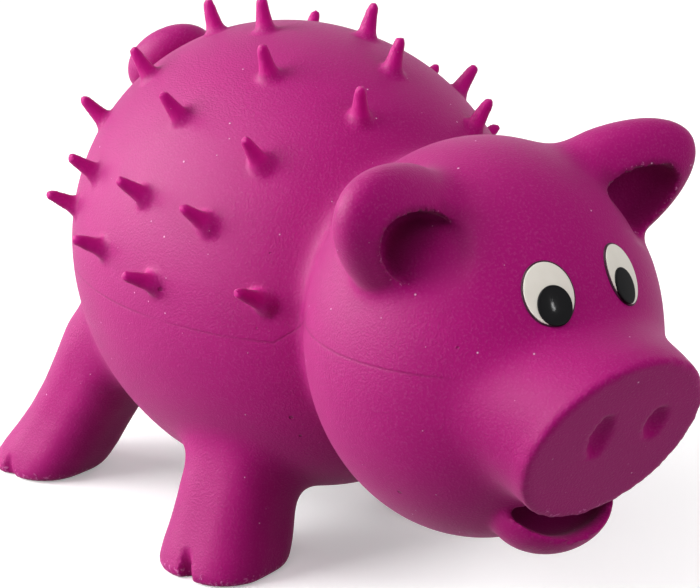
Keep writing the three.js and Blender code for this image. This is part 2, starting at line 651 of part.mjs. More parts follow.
// Voice unit, in its own frame: its axis is the Z axis and its base stands on Z = 0
function makeVoice() {
  const group = new THREE.Group();
  group.position.set(voiceX, 0, voiceFloor);
  const boreRadius = VENT_BORE / 2;
  const bellowsBottom = VOICE_BASE_HEIGHT + SEAT_GAP;
  const bellowsTop = bellowsBottom + BELLOWS_HEIGHT;
  const base = drum(voiceRadius, 0, VOICE_BASE_HEIGHT).subtract(
    drum(boreRadius, -VOICE_BASE_HEIGHT, 2 * VOICE_BASE_HEIGHT, BORE_SIDES),
  );
  const foldPoints = 2 * BELLOWS_FOLDS;
  const wave = Array.from({ length: foldPoints + 1 }, (unused, step) => ({
    height: bellowsBottom + (BELLOWS_HEIGHT * step) / foldPoints,
    radius: voiceRadius - (step % 2 === 0 ? 0 : BELLOWS_FOLD_DEPTH),
  }));
  const outside = wave.map(({ height, radius }) => new THREE.Vector2(radius, height));
  const inside = wave.map(({ height, radius }) => new THREE.Vector2(radius - BELLOWS_WALL, height));
  const bellows = lathe([...outside, ...inside.reverse(), outside[0].clone()], DRUM_SIDES);
  const lid = drum(voiceRadius, bellowsTop + SEAT_GAP, bellowsTop + SEAT_GAP + VOICE_LID_HEIGHT);
  const reedStack = REED_TONGUE_THICKNESS + REED_CLIP_THICKNESS + 2 * SEAT_GAP;
  const tubeTop = bellowsTop - SQUEEZE_TRAVEL - REED_HEADROOM - reedStack;
  const tube = drum(REED_TUBE_DIAMETER / 2, bellowsBottom, tubeTop).subtract(
    drum(REED_TUBE_BORE / 2, 0, bellowsTop),
  );
  const tongueMiddle = tubeTop + SEAT_GAP + REED_TONGUE_THICKNESS / 2;
  const tongue = block(
    REED_TONGUE_LENGTH,
    REED_TONGUE_WIDTH,
    REED_TONGUE_THICKNESS,
    new THREE.Vector3((REED_TUBE_DIAMETER - REED_TONGUE_LENGTH) / 2, 0, tongueMiddle),
  );
  const clipWall = (REED_TUBE_DIAMETER - REED_TUBE_BORE) / 2;
  const clipBottom = tongueMiddle + REED_TONGUE_THICKNESS / 2 + SEAT_GAP;
  const clip = block(
    clipWall,
    REED_TUBE_BORE,
    REED_CLIP_THICKNESS,
    new THREE.Vector3((REED_TUBE_DIAMETER - clipWall) / 2, 0, clipBottom + REED_CLIP_THICKNESS / 2),
  );
  group.add(
    mesh("voice_base", base, voicePlastic),
    mesh("voice_bellows", bellows, bellowsVinyl),
    mesh("voice_lid", lid, voicePlastic),
    mesh("reed_tube", tube, voicePlastic),
    mesh("reed_tongue", tongue, reedBrass),
    mesh("reed_clip", clip, voicePlastic),
  );
  return group;
}

// Vent plug: a stem that closes the belly hole round its bore, and a collar inside the skin
const stem = drum(VENT_HOLE_DIAMETER / 2 - SEAT_GAP, 0, voiceFloor - SEAT_GAP).translate([voiceX, 0, 0]);
const collar = drum(VENT_HOLE_DIAMETER / 2 + VENT_COLLAR, 0, voiceFloor - SEAT_GAP)
  .translate([voiceX, 0, 0])
  .intersect(ellipsoid(torso.middle, grown(torso.half, -SKIN - SEAT_GAP), INNER_SIDES, INNER_ROWS));
const ventPlug = stem
  .intersect(torsoOuter)
  .add(collar)
  .subtract(drum(VENT_BORE / 2, 0, voiceFloor, BORE_SIDES).translate([voiceX, 0, 0]));

const pig = new THREE.Group();
pig.name = "latex_pig";
const torsoGroup = new THREE.Group();
torsoGroup.add(
  mesh("torso_skin", torsoSkin, latex),
  mesh("torso_fill", torsoFill, fibre),
  mesh("vent_plug", ventPlug, latex),
  mesh("tail", tail.body, latex),
  makeVoice(),
);
for (const leg of legs) {
  torsoGroup.add(mesh(`${leg.name}_leg`, leg.skin, latex), mesh(`${leg.name}_leg_fill`, leg.fill, fibre));
}
const headGroup = new THREE.Group();
headGroup.add(
  mesh("head_skin", headSkin, latex),
  mesh("head_fill", headFill, fibre),
  mesh("left_ear", ears.left.body, latex),
  mesh("right_ear", ears.right.body, latex),
  ...eyePieces(1),
  ...eyePieces(-1),
);
pig.add(torsoGroup, headGroup);

export default pig;
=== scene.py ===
"""A squeezable latex pig for dogs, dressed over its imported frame.

The latex skin is moulded as one closed body, hollowed, and then divided at the lines where it
bends, so that neighbouring pieces share their borders. Sizes are in millimetres, with the nose
towards +X and the pig's left towards +Y.
"""
import logging
import math
from dataclasses import dataclass, field
from enum import Enum
from typing import Any, Sequence

import bpy
import numpy as np
from mathutils import Matrix, Vector


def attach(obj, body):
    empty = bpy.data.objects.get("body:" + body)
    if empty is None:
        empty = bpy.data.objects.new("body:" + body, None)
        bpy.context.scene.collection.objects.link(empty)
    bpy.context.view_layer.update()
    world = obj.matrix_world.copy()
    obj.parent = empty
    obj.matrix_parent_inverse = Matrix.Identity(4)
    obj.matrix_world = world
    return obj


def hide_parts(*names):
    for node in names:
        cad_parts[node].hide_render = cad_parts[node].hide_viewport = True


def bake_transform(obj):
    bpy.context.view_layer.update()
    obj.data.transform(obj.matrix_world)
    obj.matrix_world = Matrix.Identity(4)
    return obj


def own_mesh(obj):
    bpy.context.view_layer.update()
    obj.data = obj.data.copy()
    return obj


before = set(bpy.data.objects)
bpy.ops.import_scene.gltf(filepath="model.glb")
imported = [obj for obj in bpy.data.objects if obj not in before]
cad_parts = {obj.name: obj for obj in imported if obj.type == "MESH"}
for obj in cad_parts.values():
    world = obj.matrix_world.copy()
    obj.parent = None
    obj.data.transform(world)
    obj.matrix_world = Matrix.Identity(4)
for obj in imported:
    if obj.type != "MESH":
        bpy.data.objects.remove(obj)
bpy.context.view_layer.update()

LOG = logging.getLogger("latex_pig")
MM = 0.001
X_AXIS, Y_AXIS, Z_AXIS = Vector((1, 0, 0)), Vector((0, 1, 0)), Vector((0, 0, 1))
# The pocket shade mask holds painted shade, which stands for the ear hood's shadow.
SCUFF_MASK, THORN_MASK, POCKET_SHADE_MASK = "scuff", "thorn", "pool"
# A band says up to which distance a weight is 1, and from which it is 0, in millimetres.
Band = tuple[float, float]


class Side(Enum):
    """The pig's two sides, with the sign of Y on each."""

    LEFT = 1
    RIGHT = -1

    @property
    def word(self) -> str:
        """The side's name as the pieces use it."""
        return self.name.lower()


class Reach(Enum):
    """What a lamp does: light and shine, light alone, or shine alone, as a bright window does."""

    FULL = (True, True)
    SOFT = (True, False)
    SHINE = (False, True)


class Cut(Enum):
    """The ways that one solid changes another."""

    JOIN = "UNION"
    REMOVE = "DIFFERENCE"
    KEEP = "INTERSECT"


def linear(colour: str) -> tuple[float, float, float, float]:
    """Turns an sRGB hex colour into linear red, green, blue and alpha.

    Args:
        colour: The colour as "#rrggbb".

    Returns:
        The four linear channels that a shader socket takes.
    """
    channels = [int(colour[start : start + 2], 16) / 255 for start in (1, 3, 5)]
    low_end, knee, shift, gamma = 12.92, 0.04045, 0.055, 2.4
    values = [c / low_end if c <= knee else ((c + shift) / (1 + shift)) ** gamma for c in channels]
    return (*values, 1.0)


def activate(obj: bpy.types.Object) -> None:
    """Makes an object the only selected one, and the active one.

    Args:
        obj: The object that the next operator acts on.
    """
    bpy.ops.object.select_all(action="DESELECT")
    obj.select_set(True)
    bpy.context.view_layer.objects.active = obj


def discard(*objects: bpy.types.Object) -> None:
    """Deletes helper objects with their meshes.

    Args:
        objects: The helpers, which no piece uses any more.
    """
    for obj in objects:
        bpy.data.meshes.remove(obj.data)


def finish_modifier(obj: bpy.types.Object, kind: str, **settings: Any) -> None:
    """Adds a modifier to an object and applies it.

    Args:
        obj: The object that is changed.
        kind: Blender's name of the modifier type.
        settings: The modifier's properties.
    """
    activate(obj)
    modifier = obj.modifiers.new(kind.lower(), kind)
    for name, value in settings.items():
        setattr(modifier, name, value)
    bpy.ops.object.modifier_apply(modifier=modifier.name)


def combine(obj: bpy.types.Object, tool: bpy.types.Object, cut: Cut, keep_tool: bool = False) -> None:
    """Joins a solid to another, cuts it away, or keeps what both hold.

    Args:
        obj: The solid that is changed.
        tool: The other solid.
        cut: What is done with it.
        keep_tool: Whether the tool is needed again.
    """
    finish_modifier(obj, "BOOLEAN", object=tool, operation=cut.value, solver="MANIFOLD")
    if not keep_tool:
        discard(tool)


def twin(obj: bpy.types.Object, name: str) -> bpy.types.Object:
    """Copies an object with its mesh.

    Args:
        obj: The object to copy.
        name: The copy's name.

    Returns:
        The copy.
    """
    activate(obj)
    bpy.ops.object.duplicate(linked=False)
    copy = bpy.context.object
    copy.name = name
    return copy


def joined(objects: Sequence[bpy.types.Object]) -> bpy.types.Object:
    """Joins objects that don't touch into one.

    Args:
        objects: The objects, which the result takes the place of.

    Returns:
        The one object.
    """
    bpy.ops.object.select_all(action="DESELECT")
    for obj in objects:
        obj.select_set(True)
    bpy.context.view_layer.objects.active = objects[0]
    bpy.ops.object.join()
    return bpy.context.object


def settle(obj: bpy.types.Object, place: Matrix) -> bpy.types.Object:
    """Moves and turns a new object, and puts its place into its mesh.

    Args:
        obj: The object, still at the origin.
        place: The turn and the place that it gets.

    Returns:
        The same object, at the origin and unturned.
    """
    activate(obj)
    obj.matrix_world = place
    bpy.ops.object.transform_apply(location=True, rotation=True, scale=True)
    return obj


def frame_matrix(first: Vector, second: Vector, third: Vector, middle: Vector) -> Matrix:
    """Builds a place from three directions and a point in millimetres.

    Args:
        first: Where the local X axis goes.
        second: Where the local Y axis goes.
        third: Where the local Z axis goes.
        middle: The point that the local origin goes to.

    Returns:
        The matrix, in metres.
    """
    matrix = Matrix((first, second, third)).transposed().to_4x4()
    matrix.translation = middle * MM
    return matrix


def plane_frame(normal: Vector, point: Vector) -> Matrix:
    """Builds the place of a plane that faces along a direction.

    Args:
        normal: The direction.
        point: A point of the plane, in millimetres.

    Returns:
        The place, with local Z along the normal.
    """
    nearly_lengthwise = 0.9
    third = normal.normalized()
    guide = X_AXIS if abs(third.x) < nearly_lengthwise else Y_AXIS
    first = (guide - third * guide.dot(third)).normalized()
    return frame_matrix(first, third.cross(first), third, point)


def points_of(obj: bpy.types.Object) -> np.ndarray:
    """Reads the vertices of an object.

    Args:
        obj: The object, its place already in its mesh.

    Returns:
        The vertices in millimetres, one row each.
    """
    flat = np.empty(len(obj.data.vertices) * 3, np.float32)
    obj.data.vertices.foreach_get("co", flat)
    return flat.reshape(-1, 3).astype(float) / MM


def soft_step(values: np.ndarray, full: float, none: float) -> np.ndarray:
    """Falls smoothly from one to nothing.

    Args:
        values: Distances.
        full: The distance up to which the result is 1.
        none: The distance from which the result is 0.

    Returns:
        The weights.
    """
    share = np.clip((none - values) / (none - full), 0, 1)
    return share * share * (3 - 2 * share)


def smooth_where(obj: bpy.types.Object, weights: np.ndarray, rounds: int, factor: float = 0.5) -> None:
    """Relaxes part of a surface, as a thumb rounds a clay crease.

    Args:
        obj: The surface.
        weights: How strongly each vertex takes part, from 0 to 1.
        rounds: How often the smoothing is repeated.
        factor: How far a vertex moves each time.
    """
    group = obj.vertex_groups.new(name="relax")
    levels = 24
    steps = np.rint(weights * levels).astype(int)
    for level in range(1, levels + 1):
        chosen = np.flatnonzero(steps == level)
        if len(chosen):
            group.add(chosen.tolist(), level / levels, "REPLACE")
    finish_modifier(obj, "SMOOTH", factor=factor, iterations=rounds, vertex_group=group.name)
    obj.vertex_groups.clear()


def shade(obj: bpy.types.Object, angle: float = 40) -> None:
    """Shades a piece smooth, apart from edges sharper than an angle in degrees."""
    activate(obj)
    bpy.ops.object.shade_smooth_by_angle(angle=math.radians(angle))


def round_edges(obj: bpy.types.Object, width: float) -> None:
    """Rounds the sharp edges of a piece over a width in millimetres."""
    limits = {"limit_method": "ANGLE", "angle_limit": math.radians(50)}
    finish_modifier(obj, "BEVEL", width=width * MM, segments=3, **limits)


@dataclass(frozen=True)
class Oval:
    """An ellipsoid, given by its middle, its half lengths and the directions of its axes."""

    middle: Vector
    half: Vector
    axes: tuple[Vector, Vector, Vector] = (X_AXIS, Y_AXIS, Z_AXIS)

    def gap(self, points: np.ndarray) -> np.ndarray:
        """Estimates how far points lie outside the surface.

        Args:
            points: Points in millimetres, one row each.

        Returns:
            The distances, negative inside.
        """
        local = (points - np.array(self.middle)) @ np.array(self.axes).T
        half, tiny = np.array(self.half), 1e-9
        reach = np.linalg.norm(local / half, axis=1)
        slope = np.maximum(np.linalg.norm(local / half**2, axis=1), tiny)
        return reach * (reach - 1) / slope

    def near(self, points: np.ndarray, band: Band) -> np.ndarray:
        """Weights points by how near they lie to the surface."""
        return soft_step(np.abs(self.gap(points)), *band)

    def place(self, axial: float, roll: float) -> tuple[Vector, Vector]:
        """Finds a place on the surface and the direction that it faces.

        Args:
            axial: Degrees from the middle section towards the nose.
            roll: Degrees from the top towards the pig's right.

        Returns:
            The point and the outward normal.
        """
        along, across = math.sin(math.radians(axial)), math.cos(math.radians(axial))
        side, rise = math.sin(math.radians(roll)), math.cos(math.radians(roll))
        unit = Vector((along, -across * side, across * rise))
        offset = Vector(u * h for u, h in zip(unit, self.half))
        normal = Vector(u / h for u, h in zip(unit, self.half)).normalized()
        return self.middle + offset, normal

    def grown(self, amount: float) -> "Oval":
        """The same oval with its surface moved outwards by an amount in millimetres."""
        return Oval(self.middle, self.half + Vector((amount,) * 3), self.axes)

    def build(self, name: str, segments: int = 128) -> bpy.types.Object:
        """Makes the oval from a ball that is stretched in edit mode.

        Args:
            name: The object's name.
            segments: Faces round it, of which half as many lie from pole to pole.

        Returns:
            The closed solid.
        """
        bpy.ops.object.select_all(action="DESELECT")
        bpy.ops.mesh.primitive_uv_sphere_add(segments=segments, ring_count=segments // 2, radius=MM)
        obj = bpy.context.object
        obj.name = name
        bpy.ops.object.mode_set(mode="EDIT")
        bpy.ops.mesh.select_all(action="SELECT")
        bpy.ops.transform.resize(value=tuple(self.half), center_override=(0, 0, 0))
        bpy.ops.object.mode_set(mode="OBJECT")
        return settle(obj, frame_matrix(*self.axes, self.middle))


@dataclass(frozen=True)
class Station:
    """One cross-section of a drawn form: its middle and its two radii."""

    middle: Vector
    first: float
    second: float


def drawn_form(
    name: str, stations: Sequence[Station], sides: int, corner: float | None = None
) -> bpy.types.Object:
    """Draws a closed solid upwards from a flat outline, by extruding it from station to station.

    Args:
        name: The object's name.
        stations: The cross-sections, each in a plane across the local Z axis.
        sides: Faces round the form.
        corner: For a rounded square instead of a circle, the share of a half side that is round.

    Returns:
        The closed solid, its place still that of the local axes.
    """
    bpy.ops.object.select_all(action="DESELECT")
    if corner is None:
        bpy.ops.mesh.primitive_circle_add(vertices=sides, radius=MM, fill_type="NGON")
    else:
        bpy.ops.mesh.primitive_plane_add(size=2 * MM)
    obj = bpy.context.object
    obj.name = name
    bpy.ops.object.mode_set(mode="EDIT")
    bpy.ops.mesh.select_all(action="SELECT")
    if corner is not None:
        bpy.ops.mesh.bevel(offset=corner * MM, segments=sides // 4, affect="VERTICES")
        bpy.ops.mesh.select_all(action="SELECT")
    here = Station(Vector((0, 0, 0)), 1, 1)
    for number, station in enumerate(stations):
        if number:
            bpy.ops.mesh.extrude_region_move()
        scale = (station.first / here.first, station.second / here.second, 1)
        bpy.ops.transform.resize(value=scale, center_override=tuple(here.middle * MM))
        bpy.ops.transform.translate(value=tuple((station.middle - here.middle) * MM))
        here = station
    bpy.ops.mesh.select_all(action="SELECT")
    bpy.ops.mesh.fill_holes(sides=0)
    bpy.ops.mesh.normals_make_consistent(inside=False)
    bpy.ops.object.mode_set(mode="OBJECT")
    return obj


def turned_form(name: str, profile: Sequence[tuple[float, float]], sides: int) -> bpy.types.Object:
    """Draws a round form about the local Z axis.

    Args:
        name: The object's name.
        profile: Pairs of height and radius, from one end to the other.
        sides: Faces round the form.

    Returns:
        The closed solid, its place still that of the local axes.
    """
    return drawn_form(name, [Station(Vector((0, 0, z)), r, r) for z, r in profile], sides)


def slab(name: str, size: Vector, place: Matrix) -> bpy.types.Object:
    """Makes a block that stands on a plane, used to divide or trim the skin.

    Args:
        name: The object's name.
        size: Its lengths in millimetres, with the last one away from the plane.
        place: The plane, as the local XY plane, with the block on its +Z side.

    Returns:
        The block.
    """
    bpy.ops.object.select_all(action="DESELECT")
    bpy.ops.mesh.primitive_cube_add(size=1, location=(0, 0, size.z * MM / 2))
    obj = bpy.context.object
    obj.name = name
    obj.scale = size * MM
    bpy.ops.object.transform_apply(location=True, rotation=True, scale=True)
    return settle(obj, place)


def add_node(
    tree: bpy.types.NodeTree, kind: str, inputs: dict[str | int, Any] | None = None, **settings: Any
) -> bpy.types.Node:
    """Adds a shader node with its settings, values and links.

    Args:
        tree: The node tree.
        kind: The node's type.
        inputs: A value, or a socket to link from, for each input by name or number.
        settings: The node's own properties.

    Returns:
        The node.
    """
    node = tree.nodes.new(kind)
    for name, value in settings.items():
        setattr(node, name, value)
    for key, value in (inputs or {}).items():
        if isinstance(value, bpy.types.NodeSocket):
            tree.links.new(value, node.inputs[key])
        else:
            node.inputs[key].default_value = value
    return node


def new_material(name: str) -> bpy.types.Material:
    """Starts a material.

    Args:
        name: Its name.

    Returns:
        The material, its node tree empty.
    """
    material = bpy.data.materials.new(name)
    material.use_nodes = True
    material.node_tree.nodes.clear()
    return material


def per_metre(millimetres: float) -> float:
    """The texture scale at which one cell of a pattern has a real size in millimetres."""
    return 1 / (millimetres * MM)


@dataclass(frozen=True)
class Latex:
    """Natural latex, slush moulded and dyed.

    It gives the eye a satin skin with a pale bloom where light grazes it, a fine frosted grain,
    small bubbles darkened with painted shade, specks of dust, a faint parting line, crumbs where it
    was trimmed, and painted shade in the ears' pockets.
    """

    name: str
    body: str = "#8f045f"
    deep: str = "#9c0568"
    bloom: str = "#c968a4"
    dust: str = "#dba0c4"
    # A dark tone for painted shade in the ear pockets and the bubbles' pits, and for the parting line.
    shade_and_seam: str = "#5c0438"
    thorn: str = "#a8056f"
    roughness: float = 0.54
    roughness_spread: tuple[float, float] = (-0.06, 0.08)
    ior: float = 1.52
    gloss: float = 0.06
    sheen: float = 0.06
    mottle: float = 24
    # Real frosting is finer than 0.1 mm, so it is drawn coarser to show.
    frost: float = 0.5
    frost_cover: float = 0.12
    frost_relief: float = 0.75
    relief: float = 0.25
    bubble_spacing: float = 8.5
    bubble: float = 0.65
    bubble_rarity: float = 0.55
    bubble_shade: float = 0.6
    dust_spacing: float = 2.6
    dust_speck: float = 0.3
    dust_rarity: float = 0.7
    speck_edge: float = 0.35
    crumb: float = 0.9
    crumb_pull: float = 0.34
    crumb_cover: float = 0.7
    # The parting line is lower on the torso than on the head, and shows on the sides alone.
    parting_heights: tuple[float, float] = (64.8, 72.3)
    parting_step: tuple[float, float] = (18, 26)
    parting_flank: tuple[float, float] = (26, 34)
    parting_width: float = 0.45
    parting_cover: float = 0.35

    def make(self) -> bpy.types.Material:
        """Builds the material.

        Returns:
            The material, patterned on Object coordinates and the piece's painted masks.
        """
        material = new_material(self.name)
        tree = material.node_tree
        where = add_node(tree, "ShaderNodeTexCoord").outputs["Object"]
        mottle, frost = (
            add_node(
                tree, "ShaderNodeTexNoise", {"Vector": where, "Scale": per_metre(size), "Detail": 3.0}
            ).outputs["Fac"]
            for size in (self.mottle, self.frost)
        )
        dust = self.specks(tree, where, self.dust_spacing, self.dust_speck, self.dust_rarity)
        pits = self.specks(tree, where, self.bubble_spacing, self.bubble, self.bubble_rarity)
        parting = self.parting(tree, where, mottle)
        crumbs = self.crumbs(tree, where)
        thorn, pool = (
            add_node(tree, "ShaderNodeAttribute", attribute_name=name).outputs["Fac"]
            for name in (THORN_MASK, POCKET_SHADE_MASK)
        )
        frosting = add_node(
            tree,
            "ShaderNodeMapRange",
            {"Value": frost, "From Min": 0.5, "From Max": 0.75, "To Min": 0.0, "To Max": self.frost_cover},
        ).outputs[0]
        # Painted shade in the bubbles' pits.
        shaded_pits = add_node(
            tree, "ShaderNodeMath", {0: pits, 1: self.bubble_shade}, operation="MULTIPLY"
        ).outputs[0]
        colour = add_node(
            tree,
            "ShaderNodeMix",
            {0: mottle, 6: linear(self.body), 7: linear(self.deep)},
            data_type="RGBA",
        ).outputs[2]
        # The ears' pockets and the bubbles' pits are darkened with painted shade; the parting line takes the
        # same dark tone.
        layers = (
            (frosting, self.bloom),
            (thorn, self.thorn),
            (pool, self.shade_and_seam),
            (shaded_pits, self.shade_and_seam),
            (parting, self.shade_and_seam),
            (dust, self.dust),
            (crumbs, self.bloom),
        )
        for mask, tint in layers:
            colour = add_node(
                tree, "ShaderNodeMix", {0: mask, 6: colour, 7: linear(tint)}, data_type="RGBA"
            ).outputs[2]
        smooth, rough = (self.roughness + change for change in self.roughness_spread)
        satin = add_node(
            tree,
            "ShaderNodeMapRange",
            {"Value": frost, "From Min": 0.3, "From Max": 0.7, "To Min": smooth, "To Max": rough},
        ).outputs[0]
        grain = add_node(
            tree, "ShaderNodeMath", {0: frost, 1: self.frost_relief}, operation="MULTIPLY"
        ).outputs[0]
        for mask, operation in ((dust, "ADD"), (crumbs, "ADD"), (pits, "SUBTRACT"), (parting, "SUBTRACT")):
            grain = add_node(tree, "ShaderNodeMath", {0: grain, 1: mask}, operation=operation).outputs[0]
        bump = add_node(
            tree, "ShaderNodeBump", {"Height": grain, "Strength": 0.8, "Distance": self.relief * MM}
        ).outputs[0]
        surface = add_node(
            tree,
            "ShaderNodeBsdfPrincipled",
            {
                "Base Color": colour,
                "Roughness": satin,
                "IOR": self.ior,
                "Specular IOR Level": self.gloss,
                "Normal": bump,
                "Sheen Weight": self.sheen,
                "Sheen Roughness": 0.5,
            },
        )
        add_node(tree, "ShaderNodeOutputMaterial", {"Surface": surface.outputs[0]})
        return material

    def specks(
        self,
        tree: bpy.types.NodeTree,
        where: bpy.types.NodeSocket,
        spacing: float,
        size: float,
        rarity: float,
    ) -> bpy.types.NodeSocket:
        """Scatters small round specks, some cells of the pattern having none.

        Args:
            tree: The material's node tree.
            where: The coordinates.
            spacing: The mean distance between the cells, in millimetres.
            size: The largest speck's radius, in millimetres.
            rarity: The share of the cells that stay bare.

        Returns:
            The mask, 1 in the middle of a speck.
        """
        cells = add_node(
            tree, "ShaderNodeTexVoronoi", {"Vector": where, "Scale": per_metre(spacing), "Randomness": 1.0}
        )
        chance = add_node(tree, "ShaderNodeSeparateColor", {0: cells.outputs["Color"]}).outputs[0]
        radius = add_node(
            tree, "ShaderNodeMapRange", {"Value": chance, "From Min": rarity, "To Max": size / spacing}
        ).outputs[0]
        inside = add_node(
            tree, "ShaderNodeMath", {0: radius, 1: cells.outputs["Distance"]}, operation="SUBTRACT"
        ).outputs[0]
        return add_node(
            tree, "ShaderNodeMapRange", {"Value": inside, "From Max": self.speck_edge * size / spacing}
        ).outputs[0]

    def parting(
        self, tree: bpy.types.NodeTree, where: bpy.types.NodeSocket, breaks: bpy.types.NodeSocket
    ) -> bpy.types.NodeSocket:
        """Draws the mould's parting line along the flanks and the cheeks.

        Args:
            tree: The material's node tree.
            where: The coordinates.
            breaks: A cloudy pattern that interrupts the line.

        Returns:
            The mask, 1 in the line.
        """
        axes = add_node(tree, "ShaderNodeSeparateXYZ", {0: where}).outputs
        low, high = (height * MM for height in self.parting_heights)
        behind, ahead = (place * MM for place in self.parting_step)
        inner, outer = (distance * MM for distance in self.parting_flank)
        level = add_node(
            tree,
            "ShaderNodeMapRange",
            {"Value": axes[0], "From Min": behind, "From Max": ahead, "To Min": low, "To Max": high},
        ).outputs[0]
        rise = add_node(tree, "ShaderNodeMath", {0: axes[2], 1: level}, operation="SUBTRACT").outputs[0]
        gap = add_node(tree, "ShaderNodeMath", {0: rise}, operation="ABSOLUTE").outputs[0]
        width = self.parting_width * MM
        line = add_node(
            tree,
            "ShaderNodeMapRange",
            {"Value": gap, "From Max": width, "To Min": self.parting_cover, "To Max": 0.0},
        ).outputs[0]
        breadth = add_node(tree, "ShaderNodeMath", {0: axes[1]}, operation="ABSOLUTE").outputs[0]
        flank = add_node(
            tree, "ShaderNodeMapRange", {"Value": breadth, "From Min": inner, "From Max": outer}
        ).outputs[0]
        shown = add_node(
            tree, "ShaderNodeMapRange", {"Value": breaks, "From Min": 0.3, "From Max": 0.45}
        ).outputs[0]
        where_shown = add_node(tree, "ShaderNodeMath", {0: flank, 1: shown}, operation="MULTIPLY").outputs[0]
        return add_node(tree, "ShaderNodeMath", {0: line, 1: where_shown}, operation="MULTIPLY").outputs[0]

    def crumbs(self, tree: bpy.types.NodeTree, where: bpy.types.NodeSocket) -> bpy.types.NodeSocket:
        """Sticks pale crumbs to the trimmed edges that the piece's mask marks.

        Args:
            tree: The material's node tree.
            where: The coordinates.

        Returns:
            The mask, 1 on a crumb.
        """
        mask = add_node(tree, "ShaderNodeAttribute", attribute_name=SCUFF_MASK).outputs["Fac"]
        lumps = add_node(
            tree, "ShaderNodeTexNoise", {"Vector": where, "Scale": per_metre(self.crumb), "Detail": 2.0}
        ).outputs["Fac"]
        strength = add_node(
            tree, "ShaderNodeMath", {0: mask, 1: self.crumb_pull}, operation="MULTIPLY"
        ).outputs[0]
        total = add_node(tree, "ShaderNodeMath", {0: lumps, 1: strength}, operation="ADD").outputs[0]
        return add_node(
            tree,
            "ShaderNodeMapRange",
            {"Value": total, "From Min": 0.8, "From Max": 0.92, "To Min": 0.0, "To Max": self.crumb_cover},
        ).outputs[0]


@dataclass(frozen=True)
class Plain:
    """A plain finish with a fine uneven surface: paint, moulded plastic, vinyl, fibre or brass."""

    name: str
    colour: str
    second: str
    roughness: float
    cell: float
    ior: float = 1.5
    metallic: float = 0.0
    coat: float = 0.0
    gloss: float = 0.5
    relief: float = 0.03

    def make(self) -> bpy.types.Material:
        """Builds the material.

        Returns:
            The material, patterned on Object coordinates.
        """
        material = new_material(self.name)
        tree = material.node_tree
        where = add_node(tree, "ShaderNodeTexCoord").outputs["Object"]
        cloud = add_node(
            tree, "ShaderNodeTexNoise", {"Vector": where, "Scale": per_metre(self.cell), "Detail": 4.0}
        )
        tone = add_node(
            tree,
            "ShaderNodeMix",
            {0: cloud.outputs["Fac"], 6: linear(self.colour), 7: linear(self.second)},
            data_type="RGBA",
        )
        bump = add_node(
            tree,
            "ShaderNodeBump",
            {"Height": cloud.outputs["Fac"], "Strength": 0.4, "Distance": self.relief * MM},
        )
        surface = add_node(
            tree,
            "ShaderNodeBsdfPrincipled",
            {
                "Base Color": tone.outputs[2],
                "Roughness": self.roughness,
                "Metallic": self.metallic,
                "IOR": self.ior,
                "Specular IOR Level": self.gloss,
                "Coat Weight": self.coat,
                "Coat Roughness": 0.08,
                "Normal": bump.outputs[0],
            },
        )
        add_node(tree, "ShaderNodeOutputMaterial", {"Surface": surface.outputs[0]})
        return material


def dress(obj: bpy.types.Object, material: bpy.types.Material) -> None:
    """Gives an object one material all over.

    Args:
        obj: The piece.
        material: Its finish.
    """
    obj.data.materials.clear()
    obj.data.materials.append(material)


SKIN = 2.4
FILLING_PLAY = 0.5
# Further than this from the undivided skin, a point belongs to a cut face.
NORMAL_REACH = 0.05
TORSO = Oval(Vector((-28.5, 0, 67.6)), Vector((64.8, 52.5, 57)))
HEAD = Oval(Vector((47.9, 0, 67.9)), Vector((39.8, 40.4, 45.6)))
NECK_X = 22.9
# A block that covers all of the pig on one side of a plane.
HALF_SPACE = Vector((400, 400, 120))


